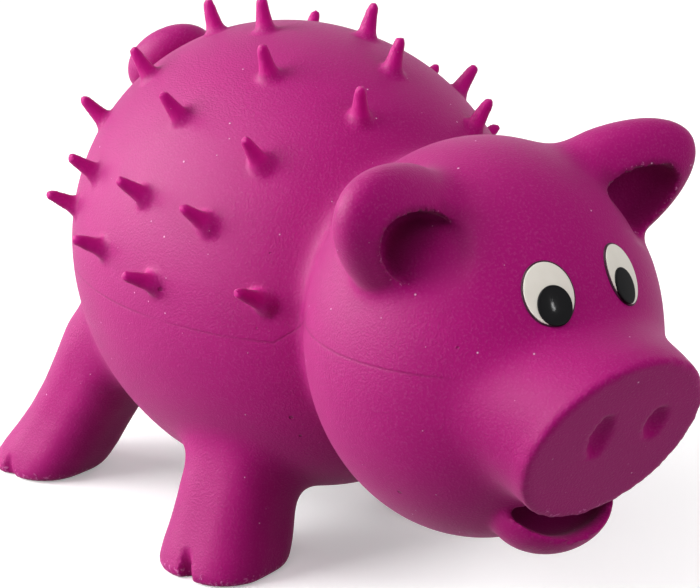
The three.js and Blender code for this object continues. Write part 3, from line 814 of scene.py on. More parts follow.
@dataclass
class Leg:
    """A fat leg that spreads into a cloven, flat-soled foot."""

    name: str
    side: Side
    foot: Vector
    hip: Vector
    profile: Sequence[tuple[float, float]]
    toe_turn: float
    cut_normal: Vector
    cut_offset: float
    bend_length: float
    box_x: tuple[float, float]
    toe_bulge: float = 0.0
    instep: float = 16.0
    foot_height: float = 10
    cleft_share: float = 1.0
    cleft_lean: tuple[float, float] = (0.1, -0.12)
    cleft_depth: float = 2.3
    corner: float = 0.8
    cutter_width: float = 140
    cutter_height: float = 80
    own_side_from: float = 2
    crease_out: Band = (3.5, 10.0)
    crease_round: Band = (4.0, 12.0)

    def __post_init__(self) -> None:
        """Works out the direction in which the toes point."""
        turn = math.radians(self.toe_turn)
        self.toe = Vector((math.sin(turn), self.side.value * math.cos(turn), 0))
        self.across = self.toe.cross(Z_AXIS)
        self.place = frame_matrix(self.across, self.toe, Z_AXIS, self.foot)
        self.sole = max(radius for height, radius in self.profile if height < self.foot_height)
        self.thigh = self.profile[-1][1]

    def stations(self, inset: float, floor: float) -> list[Station]:
        """Lists the leg's cross-sections from the sole up into the body.

        Args:
            inset: How far inside the skin they lie.
            floor: The height of the lowest one.

        Returns:
            The cross-sections, in the foot's own directions.
        """
        slope = (self.hip - self.foot) / self.hip.z
        lean = Vector((slope.dot(self.across), slope.dot(self.toe), 1))
        kept = [(height, radius) for height, radius in self.profile if height > floor]
        first = [(floor, kept[0][1])] if floor else [self.profile[0]]
        stations = []
        for height, radius in first + kept:
            forward = Y_AXIS * self.toe_bulge * max(0.0, 1 - height / self.instep)
            stations.append(Station(lean * height + forward, radius - inset, radius - inset))
        return stations

    def form(self, name: str, inset: float, floor: float, sides: int) -> bpy.types.Object:
        """Draws the leg, or the space inside it.

        Args:
            name: The object's name.
            inset: How far inside the skin it lies.
            floor: The height at which it starts.
            sides: Faces round it.

        Returns:
            The closed solid.
        """
        form = drawn_form(name, self.stations(inset, floor), sides, self.corner)
        return settle(form, self.place)

    def build(self) -> bpy.types.Object:
        """Moulds the leg.

        Returns:
            The closed solid.
        """
        return self.form(self.name, inset=0, floor=0, sides=48)

    def cleft(self) -> bpy.types.Object:
        """Makes the wedge that parts the two toes.

        Returns:
            The tool's solid.
        """
        profile = [(-4.0, 2.4), (0.0, 2.0), (4.5, 1.5), (9.0, 1.0), (14.0, 0.4)]
        share, deep = self.cleft_share, self.cleft_depth
        aside, back = self.cleft_lean
        stations = [
            Station(Vector((aside * z, back * z, z * share)), r, deep * r * share) for z, r in profile
        ]
        tool = drawn_form("cleft", stations, sides=24)
        edge = self.foot + self.toe * (self.sole + self.toe_bulge)
        return settle(tool, frame_matrix(self.across, self.toe, Z_AXIS, edge))

    def cutter(self) -> bpy.types.Object:
        """Makes the block beyond the plane where the leg leaves the body, on the leg's own side.

        Returns:
            The tool's solid.
        """
        normal = self.cut_normal.normalized()
        low, high = self.box_x
        middle = Vector(((low + high) / 2, 0, 0))
        middle += normal * (self.cut_offset - normal.dot(middle))
        size = Vector((high - low, self.cutter_width, self.cutter_height))
        block = slab("leg_cutter", size, plane_frame(normal, middle))
        outwards = Y_AXIS * self.side.value
        half = slab("own_side", HALF_SPACE, plane_frame(outwards, outwards * self.own_side_from))
        combine(block, half, Cut.KEEP)
        return block

    def crease(self, points: np.ndarray) -> np.ndarray:
        """Weights the points where the leg grows out of the body."""
        near_body = TORSO.near(points, self.crease_out)
        return near_body * soft_step(self.beside(points) - self.thigh, *self.crease_round)

    def beside(self, points: np.ndarray) -> np.ndarray:
        """Measures how far points lie from the leg's axis.

        Args:
            points: Points in millimetres, one row each.

        Returns:
            The distances.
        """
        axis = np.array((self.hip - self.foot).normalized())
        offset = points - np.array(self.foot)
        return np.linalg.norm(offset - np.outer(offset @ axis, axis), axis=1)


FRONT_PROFILE = (
    (0.0, 13.4),
    (0.4, 14.2),
    (1.6, 14.7),
    (6.0, 14.5),
    (11.0, 13.9),
    (17.0, 13.6),
    (24.0, 13.6),
    (30.0, 14.0),
    (36.0, 14.8),
    (45.0, 13.0),
)
REAR_PROFILE = (
    (0.0, 12.3),
    (0.6, 13.3),
    (2.2, 14.0),
    (7.0, 14.0),
    (12.0, 13.5),
    (18.0, 13.2),
    (26.0, 13.5),
    (34.0, 14.6),
    (45.0, 16.4),
    (54.0, 15.0),
)


def make_legs() -> list[Leg]:
    """Describes the four legs.

    Returns:
        The legs, front pair first.
    """
    legs = []
    for side in Side:
        sign = side.value
        legs.append(
            Leg(
                name=f"front_{side.word}_leg",
                side=side,
                foot=Vector((-9.0, sign * 34.8, 0)),
                hip=Vector((-9.9, sign * 24.2, 36)),
                profile=FRONT_PROFILE,
                toe_turn=19,
                cut_normal=Vector((0, sign * 0.47, -0.88)),
                cut_offset=-1.4,
                bend_length=9,
                box_x=(-45, 30),
            )
        )
    for side in Side:
        sign = side.value
        legs.append(
            Leg(
                name=f"rear_{side.word}_leg",
                side=side,
                foot=Vector((-89.9, sign * 39.1, 0)),
                hip=Vector((-64.7, sign * 25.1, 45)),
                profile=REAR_PROFILE,
                toe_turn=16,
                cut_normal=Vector((-0.468, sign * 0.268, -0.843)),
                cut_offset=17.5,
                bend_length=15,
                box_x=(-190, 0),
                toe_bulge=1.6,
                cleft_share=0.55,
            )
        )
    return legs


@dataclass
class Ear:
    """A thick hooded ear, with a pocket between the hood's front and the head."""

    side: Side
    axial: float = 9
    roll: float = 45.7
    elevation: float = 31.8
    forward_turn: float = 21.7
    reach: float = 22.4
    root_depth: float = 10.8
    height: float = 31.2
    depth: float = 21.4
    cut: float = 5.0
    recess: float = 1.5
    bend_length: float = 13
    pocket: Vector = field(default_factory=lambda: Vector((8.0, -2.4, -1.8)))
    pocket_half: Vector = field(default_factory=lambda: Vector((11.0, 17.2, 8.3)))
    cutter_size: Vector = field(default_factory=lambda: Vector((90, 90, 60)))
    crease_band: Band = (1.5, 6.5)
    crease_back: Band = (-3.0, 5.0)
    crease_upper: Band = (-4.0, 4.0)
    crease_under_share: float = 0.1
    brink_border: Band = (2.0, 5.0)
    brink_head: Band = (3.0, 6.0)
    brink_hood: Band = (-2.0, 0.0)
    pool_slope: float = 0.32
    pool_ahead: Band = (6.5, 13.5)
    pool_behind: Band = (-2.0, 2.0)
    pool_middle: float = -1
    pool_height: Band = (8.5, 12.5)
    pool_length: Band = (14, 20)
    pool_head: Band = (2.0, 4.5)
    pool_wall: Band = (0.8, 2.0)
    rim_band: Band = (0.5, 2.0)

    def __post_init__(self) -> None:
        """Works out the ear's directions from its angles."""
        sign = self.side.value
        rise, turn = math.radians(self.elevation), math.radians(self.forward_turn)
        self.seat = HEAD.place(self.axial, -sign * self.roll)[0]
        outwards = Vector((0, sign * math.cos(rise), math.sin(rise)))
        self.along = outwards * math.cos(turn) + X_AXIS * math.sin(turn)
        self.front = X_AXIS * math.cos(turn) - outwards * math.sin(turn)
        self.up = Vector((0, -sign * math.sin(rise), math.cos(rise)))
        axes = (self.front, self.along * sign, self.up)
        half = Vector((self.depth / 2, self.reach + self.root_depth, self.height / 2))
        self.hood = Oval(self.seat - self.along * self.root_depth, half, axes)
        front, along, up = self.pocket
        middle = self.seat + self.front * front + self.along * along + self.up * up
        self.hollow = Oval(middle, self.pocket_half, axes)

    @property
    def name(self) -> str:
        """The ear's name."""
        return f"{self.side.word}_ear"

    def build(self) -> bpy.types.Object:
        """Moulds the hood.

        Returns:
            The closed solid.
        """
        return self.hood.build(f"{self.name}_form")

    def pocket_tool(self) -> bpy.types.Object:
        """Makes the tool that hollows the hood, and the head a little below it.

        Returns:
            The tool's solid.
        """
        tool = self.hollow.build("ear_pocket")
        combine(tool, HEAD.grown(-self.recess).build("head_guard"), Cut.REMOVE)
        return tool

    def cutter(self) -> bpy.types.Object:
        """Makes the block beyond the plane where the ear leaves the head."""
        place = plane_frame(self.along, self.seat + self.along * self.cut)
        return slab("ear_cutter", self.cutter_size, place)

    def crease(self, points: np.ndarray) -> np.ndarray:
        """Weights the points where the ear's back grows out of the head, less so under the ear.

        Args:
            points: Points in millimetres, one row each.

        Returns:
            The weights.
        """
        offset = points - np.array(self.seat)
        back = soft_step(offset @ np.array(self.front), *self.crease_back)
        upper = soft_step(-(offset @ np.array(self.up)), *self.crease_upper)
        share = self.crease_under_share + (1 - self.crease_under_share) * upper
        near = HEAD.near(points, self.crease_band)
        return back * share * near * soft_step(self.hood.gap(points), *self.crease_band)

    def brink(self, points: np.ndarray) -> np.ndarray:
        """Weights the pocket's border on the head, which is soft.

        Args:
            points: Points in millimetres, one row each.

        Returns:
            The weights.
        """
        border = self.hollow.near(points, self.brink_border)
        on_head = HEAD.near(points, self.brink_head)
        return border * on_head * soft_step(-self.hood.gap(points), *self.brink_hood)

    def pool(self, points: np.ndarray) -> np.ndarray:
        """Weights the pocket and the head before it for painted shade; it fades towards the face.

        Args:
            points: Points in millimetres, one row each.

        Returns:
            The weights.
        """
        # Painted shade stands for the hood's shadow on the pocket and on the head ahead of it.
        offset = points - np.array(self.seat)
        ahead, rise = offset @ np.array(self.front), offset @ np.array(self.up)
        length = np.abs(offset @ np.array(self.along))
        reach = soft_step(ahead - self.pool_slope * rise, *self.pool_ahead)
        reach *= soft_step(-ahead, *self.pool_behind)
        height = soft_step(np.abs(rise - self.pool_middle), *self.pool_height)
        reach *= height * soft_step(length, *self.pool_length)
        on_head, on_wall = HEAD.near(points, self.pool_head), self.hollow.near(points, self.pool_wall)
        return reach * np.maximum(on_head, on_wall)

    def rim(self, points: np.ndarray) -> np.ndarray:
        """Weights the rim of the pocket."""
        return self.hollow.near(points, self.rim_band) * self.hood.near(points, self.rim_band)


@dataclass
class Snout:
    """The muzzle with its flat disc and nostrils, and the scooped lower lip."""

    radius: float = 23
    reach: float = 45.7
    drop: float = 10.1
    tilt: float = 26
    # Where each nostril lies across the disc, and half its height.
    nostril_places: Sequence[tuple[float, float]] = ((10.2, 4.8), (-4.9, 6.4))
    nostril_rise: float = 2.8
    nostril_turn: float = 28
    nostril: tuple[float, float] = (2.9, 2.0)
    lip: Oval = Oval(Vector((72.6, 0, 36.9)), Vector((12.3, 15.1, 11.3)))
    bite: Oval = Oval(Vector((78, 0, 50.6)), Vector((60, 18.6, 18.6)))
    bowl: Oval = Oval(Vector((74.0, 0, 37.6)), Vector((8.8, 12.5, 7.4)))
    trim_size: Vector = field(default_factory=lambda: Vector((80, 80, 30)))
    crease_out: Band = (5.0, 14.0)
    crease_round: Band = (8.0, 18.0)
    crease_ahead: Band = (-9.0, -4.0)
    edge_band: Band = (0.8, 2.2)
    low_edge_band: Band = (1.5, 4.0)
    face_round: Band = (0.5, 1.5)
    face_depth: Band = (0.8, 2.5)
    mouth_band: Band = (1.2, 3.0)

    def __post_init__(self) -> None:
        """Works out the disc's middle and directions."""
        tilt = math.radians(self.tilt)
        self.out = Vector((math.cos(tilt), 0, -math.sin(tilt)))
        self.up = Vector((math.sin(tilt), 0, math.cos(tilt)))
        self.middle = HEAD.middle + Vector((self.reach, 0, -self.drop))
        self.place = frame_matrix(Y_AXIS, self.up, self.out, self.middle)

    def build_muzzle(self) -> bpy.types.Object:
        """Draws the muzzle out of the head, its bridge sinking below the eyes.

        Returns:
            The closed solid, which reaches a little beyond the disc.
        """
        # Each row has its place ahead of the disc, its rise, half its width and half its height.
        profile = [
            (-30, -6.5, 33.0, 16.0),
            (-24, -5.0, 31.6, 19.0),
            (-18, -3.6, 28.6, 21.0),
            (-13, -2.0, 26.3, 21.8),
            (-8, -0.8, 24.6, 22.3),
            (-4, -0.2, 23.3, 22.8),
            (0, 0, 23.0, 23.0),
            (5, 0, 23.0, 23.0),
        ]
        stations = [Station(Vector((0, rise, z)), wide, tall) for z, rise, wide, tall in profile]
        return settle(drawn_form("muzzle", stations, sides=96), self.place)

    def trim_tool(self) -> bpy.types.Object:
        """Makes the block in front of the disc."""
        return slab("disc_trim", self.trim_size, self.place)

    def build_lip(self) -> bpy.types.Object:
        """Makes the lower lip, its rim rising to the corners of the mouth.

        Returns:
            The lip's solid.
        """
        lip = self.lip.build("lip")
        combine(lip, self.bite.build("bite"), Cut.REMOVE)
        return lip

    def build_nostril(self, aside: float, half_height: float) -> bpy.types.Object:
        """Makes the tool that presses one nostril into the disc, its right side deeper than its left.

        Args:
            aside: Where it lies across the disc.
            half_height: Half its height.

        Returns:
            The tool's solid.
        """
        turn = math.radians(self.nostril_turn)
        wide = Y_AXIS * math.cos(turn) + self.out * math.sin(turn)
        deep = self.out * math.cos(turn) - Y_AXIS * math.sin(turn)
        middle = self.middle + Y_AXIS * aside + self.up * self.nostril_rise
        half = Vector((self.nostril[0], half_height, self.nostril[1]))
        return Oval(middle, half, (wide, self.up, deep)).build("nostril", segments=48)

    def behind(self, points: np.ndarray) -> np.ndarray:
        """Measures how far points lie behind the disc's plane."""
        return -((points - np.array(self.middle)) @ np.array(self.out))

    def beside(self, points: np.ndarray) -> np.ndarray:
        """Measures how far points lie from the muzzle's axis.

        Args:
            points: Points in millimetres, one row each.

        Returns:
            The distances.
        """
        offset = points - np.array(self.middle)
        along = offset @ np.array(self.out)
        return np.linalg.norm(offset - np.outer(along, np.array(self.out)), axis=1)

    def crease(self, points: np.ndarray) -> np.ndarray:
        """Weights the points where the muzzle grows out of the head.

        Args:
            points: Points in millimetres, one row each.

        Returns:
            The weights.
        """
        near = HEAD.near(points, self.crease_out)
        near *= soft_step(self.beside(points) - self.radius, *self.crease_round)
        return near * soft_step(-self.behind(points), *self.crease_ahead)

    def edge(self, points: np.ndarray) -> np.ndarray:
        """Weights the edge of the disc."""
        ring = soft_step(np.abs(self.beside(points) - self.radius), *self.edge_band)
        return ring * soft_step(np.abs(self.behind(points)), *self.edge_band)

    def face(self, points: np.ndarray) -> np.ndarray:
        """Weights the disc itself."""
        within = soft_step(self.beside(points) - self.radius, *self.face_round)
        return within * soft_step(np.abs(self.behind(points)), *self.face_depth)

    def mouth(self, points: np.ndarray) -> np.ndarray:
        """Weights the lower lip's rim."""
        return self.bowl.near(points, self.mouth_band) * self.bite.near(points, self.mouth_band)

    def low_edge(self, points: np.ndarray, full: float, none: float) -> np.ndarray:
        """Weights the disc's edge in its lower part.

        Args:
            points: Points in millimetres, one row each.
            full: The height, in radii of the disc, below which the weight is 1.
            none: The height above which it is 0.

        Returns:
            The weights.
        """
        height = ((points - np.array(self.middle)) @ np.array(self.up)) / self.radius
        low = soft_step(height, full, none)
        ring = soft_step(np.abs(self.beside(points) - self.radius), *self.low_edge_band)
        return low * ring * soft_step(np.abs(self.behind(points)), *self.low_edge_band)


@dataclass
class Tail:
    """A fat tail that leaves the rump at the pig's right and curls over flat against it."""

    axial: float = -54
    stand_off: float = 6.2
    aside: float = -1.0
    curl: float = 6.7
    root: float = 6.1
    tip: float = 4.4
    start: float = 222
    sweep: float = 288
    steps: int = 24
    sides: int = 24
    # The rounded end: how far each of its steps shrinks, and which share of a step it turns.
    end_shrinks: Sequence[float] = (0.9, 0.75, 0.4)
    end_turns: Sequence[float] = (0.8, 0.6, 0.4)
    cut: float = 0.8
    bend_length: float = 7
    cutter_size: Vector = field(default_factory=lambda: Vector((60, 60, 40)))
    crease_reach: Band = (14.0, 19.0)
    crease_out: Band = (1.0, 3.5)
    crease_share: float = 0.5

    def __post_init__(self) -> None:
        """Works out the rump's direction and the middle of the curl."""
        self.rump, self.out = TORSO.place(self.axial, 0)
        self.up = Y_AXIS.cross(self.out)
        middle = self.rump + self.out * self.stand_off + Y_AXIS * self.aside
        self.place = frame_matrix(Y_AXIS, self.up, -self.out, middle)

    def build(self) -> bpy.types.Object:
        """Draws the tail round the curl's axis, thinner step by step, and rounds its end.

        Returns:
            The closed solid.
        """
        bpy.ops.object.select_all(action="DESELECT")
        bpy.ops.mesh.primitive_circle_add(
            vertices=self.sides,
            radius=self.root * MM,
            fill_type="NGON",
            location=(self.curl * MM, 0, 0),
            rotation=(math.pi / 2, 0, 0),
        )
        obj = bpy.context.object
        obj.name = "tail_form"
        bpy.ops.object.transform_apply(location=True, rotation=True, scale=True)
        obj.rotation_euler.z = math.radians(self.start)
        bpy.ops.object.transform_apply(location=True, rotation=True, scale=True)
        bpy.ops.object.mode_set(mode="EDIT")
        bpy.ops.mesh.select_all(action="SELECT")
        taper = (self.tip / self.root) ** (1 / self.steps)
        turn = math.radians(self.sweep) / self.steps
        shrinks = [taper] * self.steps + list(self.end_shrinks)
        turns = [turn] * self.steps + [turn * share for share in self.end_turns]
        angle = math.radians(self.start)
        for shrink, part in zip(shrinks, turns):
            bpy.ops.mesh.extrude_region_move()
            bpy.ops.transform.rotate(value=part, orient_axis="Z", center_override=(0, 0, 0))
            angle -= part
            middle = (self.curl * MM * math.cos(angle), self.curl * MM * math.sin(angle), 0)
            bpy.ops.transform.resize(value=(shrink,) * 3, center_override=middle)
        bpy.ops.mesh.select_all(action="SELECT")
        bpy.ops.mesh.fill_holes(sides=0)
        bpy.ops.mesh.normals_make_consistent(inside=False)
        bpy.ops.object.mode_set(mode="OBJECT")
        return settle(obj, self.place)

    def cutter(self) -> bpy.types.Object:
        """Makes the block beyond the plane where the tail lies on the rump."""
        place = plane_frame(self.out, self.rump + self.out * self.cut)
        return slab("tail_cutter", self.cutter_size, place)

    def crease(self, points: np.ndarray) -> np.ndarray:
        """Weights the points where the tail meets the rump.

        Args:
            points: Points in millimetres, one row each.

        Returns:
            The weights.
        """
        offset = points - np.array(self.rump)
        near = soft_step(np.linalg.norm(offset, axis=1), *self.crease_reach)
        return self.crease_share * near * TORSO.near(points, self.crease_out)


@dataclass
class Spines:
    """Soft thorns along the back; each row has its roll angle and its places along the body."""

    rows: Sequence[tuple[float, Sequence[float]]] = (
        (84, (15,)),
        (81, (-4, 43)),
        (76, (-26,)),
        (65, (-16, 7, 26)),
        (50, (-32,)),
        (44, (6, 31)),
        (35, (-19,)),
        (22, (16,)),
        (12, (-18, 38)),
        (8, (-2,)),
        (-10, (26,)),
        (-15, (9,)),
        (-29, (-27,)),
        (-34, (39,)),
        (-47, (13,)),
        (-54, (-32, -7)),
        (-62, (40,)),
        (-68, (-19, 7, 25)),
        (-82, (-30, -5, 15, 42)),
    )
    upward_lean: float = 0.3
    lengthwise_lean: float = 0.3
    top_lean: float = 0.6
    top_power: int = 4
    back_lean: float = 0.1
    side_back_lean: float = 0.2
    bend: float = 0.012
    sides: int = 16
    mask_round: Band = (2.8, 3.6)
    mask_root: Band = (-2.0, -0.3)
    mask_beyond: Band = (1, 2)
    profile: Sequence[tuple[float, float]] = (
        (-1.6, 3.1),
        (0.0, 2.8),
        (0.8, 2.4),
        (1.7, 2.15),
        (3.4, 1.9),
        (5.2, 1.65),
        (6.8, 1.45),
        (7.6, 1.3),
        (8.1, 1.0),
        (8.4, 0.5),
    )

    def places(self) -> list[tuple[Vector, Vector]]:
        """Finds where each thorn stands and where it points.

        Returns:
            The thorns' points on the body and their directions.
        """
        found = []
        for roll, along in self.rows:
            for axial in along:
                point, normal = TORSO.place(axial, roll)
                lengthwise = self.lengthwise_lean + self.top_lean * max(normal.z, 0) ** self.top_power
                back = self.back_lean + self.side_back_lean * max(-normal.y, 0)
                lean = Vector((normal.x * lengthwise - back, normal.y, normal.z + self.upward_lean))
                found.append((point, lean.normalized()))
        return found

    def build(self) -> bpy.types.Object:
        """Models one thorn, copies it to every place and joins the copies.

        Returns:
            All the thorns as one object.
        """
        stations = [Station(Vector((self.bend * z * abs(z), 0, z)), r, r) for z, r in self.profile]
        thorn = drawn_form("thorn", stations, self.sides)
        copies = []
        for point, lean in self.places():
            copies.append(settle(twin(thorn, "thorn_copy"), plane_frame(lean, point)))
        discard(thorn)
        return joined(copies)

    def mask(self, points: np.ndarray) -> np.ndarray:
        """Weights the points that belong to a thorn.

        Args:
            points: Points in millimetres, one row each.

        Returns:
            The weights, 1 on a thorn.
        """
        weights = np.zeros(len(points))
        tip = [self.profile[-1][0] + extra for extra in self.mask_beyond]
        for place, lean in self.places():
            offset = points - np.array(place)
            height = offset @ np.array(lean)
            aside = np.linalg.norm(offset - np.outer(height, np.array(lean)), axis=1)
            near = soft_step(aside, *self.mask_round) * soft_step(-height, *self.mask_root)
            weights = np.maximum(weights, near * soft_step(height, *tip))
        return weights


@dataclass
class Hide:
    """The latex skin: one hollow moulding, divided at the lines where it bends."""

    legs: list[Leg]
    ears: list[Ear]
    snout: Snout
    tail: Tail
    spines: Spines
    rough_voxel: float = 1.0
    rough_rounds: int = 3
    fine_voxel: float = 0.85
    fine_rounds: int = 2
    neck_band: Band = (0.5, 3.0)
    neck_share: float = 0.3
    crease_rounds: int = 110
    edge_rounds: int = 7
    # Two parts of the disc's lower edge, as bands of height in radii of the disc.
    soft_edge: tuple[float, float] = (-0.15, 0.3)
    soft_edge_rounds: int = 10
    trimmed_edge: tuple[float, float] = (-0.9, -0.55)
    mouth_rounds: int = 12
    brink_rounds: int = 40
    leg_space_floor: float = 9
    cutter_size: Vector = field(default_factory=lambda: Vector((300, 300, 200)))
    cutter_height: float = 60
    # How strongly the crumbs and the painted shade in the ear pockets show.
    sole_band: Band = (0.5, 6.0)
    sole_share: float = 0.9
    trimmed_share: float = 0.85
    face_share: float = 0.25
    rim_share: float = 0.6
    pool_share: float = 0.45
    # Where the neck has bent fully, and the heights between which the back gives way.
    neck_bend_end: float = 40
    squeeze_heights: tuple[float, float] = (108, 126)

    def mould(self) -> bpy.types.Object:
        """Joins the forms, rounds their creases, cuts the openings and adds the thorns.

        Returns:
            The outside of the whole skin as one closed body.
        """
        whole = HEAD.build("hide")
        combine(whole, self.snout.build_muzzle(), Cut.JOIN)
        combine(whole, TORSO.build("torso_form"), Cut.JOIN)
        limbs = [*self.ears, *self.legs, self.tail]
        for limb in limbs:
            combine(whole, limb.build(), Cut.JOIN)
        self.remesh(whole, self.rough_voxel, self.rough_rounds)
        LOG.info("forms joined")
        points = points_of(whole)
        creases = [limb.crease(points) for limb in limbs]
        creases.append(self.snout.crease(points))
        neck = TORSO.near(points, self.neck_band) * HEAD.near(points, self.neck_band)
        creases.append(self.neck_share * neck)
        smooth_where(whole, np.max(creases, axis=0), self.crease_rounds)
        LOG.info("creases rounded")
        self.cut_openings(whole)
        combine(whole, self.spines.build(), Cut.JOIN)
        LOG.info("openings cut and thorns joined")
        self.remesh(whole, self.fine_voxel, self.fine_rounds)
        points = points_of(whole)
        smooth_where(whole, self.snout.edge(points), self.edge_rounds)
        smooth_where(whole, self.snout.low_edge(points, *self.soft_edge), self.soft_edge_rounds)
        smooth_where(whole, self.snout.mouth(points), self.mouth_rounds)
        brinks = np.max([ear.brink(points) for ear in self.ears], axis=0)
        smooth_where(whole, brinks, self.brink_rounds)
        return whole

    def remesh(self, whole: bpy.types.Object, voxel: float, rounds: int) -> None:
        """Gives a body an even mesh, and takes the steps out of it.

        Args:
            whole: The body.
            voxel: The mesh's size, in millimetres.
            rounds: How often it is smoothed.
        """
        finish_modifier(whole, "REMESH", mode="VOXEL", voxel_size=voxel * MM, use_smooth_shade=True)
        finish_modifier(whole, "SMOOTH", factor=0.5, iterations=rounds)

    def cut_openings(self, whole: bpy.types.Object) -> None:
        """Cuts the disc, the nostrils, the mouth, the ears' pockets and the clefts.

        Args:
            whole: The skin's body.
        """
        snout = self.snout
        combine(whole, snout.trim_tool(), Cut.REMOVE)
        combine(whole, snout.build_lip(), Cut.JOIN)
        tools = [snout.bowl.build("bowl")]
        tools.extend(snout.build_nostril(aside, height) for aside, height in snout.nostril_places)
        tools.extend(ear.pocket_tool() for ear in self.ears)
        tools.extend(leg.cleft() for leg in self.legs)
        combine(whole, joined(tools), Cut.REMOVE)

    def cavity(self, inset: float, name: str) -> bpy.types.Object:
        """Makes the space inside the skin.

        Args:
            inset: How far it lies inside the outer surface.
            name: The object's name.

        Returns:
            The closed solid.
        """
        space = TORSO.grown(-inset).build(name, segments=64)
        combine(space, HEAD.grown(-inset).build("head_space", segments=64), Cut.JOIN)
        for leg in self.legs:
            combine(space, leg.form("leg_space", inset, self.leg_space_floor, sides=32), Cut.JOIN)
        guards = [self.snout.bowl, *(ear.hollow for ear in self.ears)]
        tools = [guard.grown(inset).build("hollow_guard", segments=48) for guard in guards]
        combine(space, joined(tools), Cut.REMOVE)
        return space

    def divide(self, whole: bpy.types.Object, suffix: str) -> dict[str, bpy.types.Object]:
        """Divides a body at the neck, the ears, the tail and the hips.

        Args:
            whole: The body, which is used up.
            suffix: What the pieces' names end in.

        Returns:
            The pieces by the part of the pig that they cover.
        """
        neck_place = plane_frame(X_AXIS, Vector((NECK_X, 0, self.cutter_height)))
        neck = slab("neck_cutter", self.cutter_size, neck_place)
        head = twin(whole, f"head_{suffix}")
        combine(head, neck, Cut.KEEP, keep_tool=True)
        combine(whole, neck, Cut.REMOVE)
        pieces = {"torso": whole, "head": head}
        whole.name = f"torso_{suffix}"
        limbs = [(whole, leg.name, leg.cutter()) for leg in self.legs]
        limbs.extend((head, ear.name, ear.cutter()) for ear in self.ears)
        limbs.append((whole, "tail", self.tail.cutter()))
        for body, name, tool in limbs:
            piece = twin(body, f"{name}_{suffix}")
            combine(piece, tool, Cut.KEEP, keep_tool=True)
            combine(body, tool, Cut.REMOVE)
            if len(piece.data.polygons):
                pieces[name] = piece
            else:
                discard(piece)
        return pieces

    def paint(self, piece: bpy.types.Object) -> None:
        """Marks a piece's trimmed edges, thorns and painted shade in the ear pockets for its material.

        Args:
            piece: The piece, its mesh final.
        """
        points = points_of(piece)
        marks = [
            self.sole_share * soft_step(points[:, 2], *self.sole_band),
            self.trimmed_share * self.snout.low_edge(points, *self.trimmed_edge),
            self.face_share * self.snout.face(points),
        ]
        marks.extend(self.rim_share * ear.rim(points) for ear in self.ears)
        paint_mask(piece, SCUFF_MASK, np.max(marks, axis=0))
        paint_mask(piece, THORN_MASK, self.spines.mask(points))
        # Painted shade in the ear pockets, standing for the hood's shadow.
        pocket_shades = np.max([ear.pool(points) for ear in self.ears], axis=0)
        paint_mask(piece, POCKET_SHADE_MASK, self.pool_share * pocket_shades)

    def bend(self, name: str, piece: bpy.types.Object) -> None:
        """Puts a piece's place into its mesh, whatever part of the pig it covers.

        Args:
            name: The part of the pig.
            piece: The piece, its mesh final.
        """
        legs = {leg.name: leg for leg in self.legs}
        ears = {ear.name: ear for ear in self.ears}
        if name in legs:
            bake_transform(piece)
        elif name in ears:
            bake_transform(piece)
        elif name == "tail":
            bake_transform(piece)
        elif name == "head":
            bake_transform(piece)
        else:
            low, high = (height * MM for height in self.squeeze_heights)
            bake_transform(piece)


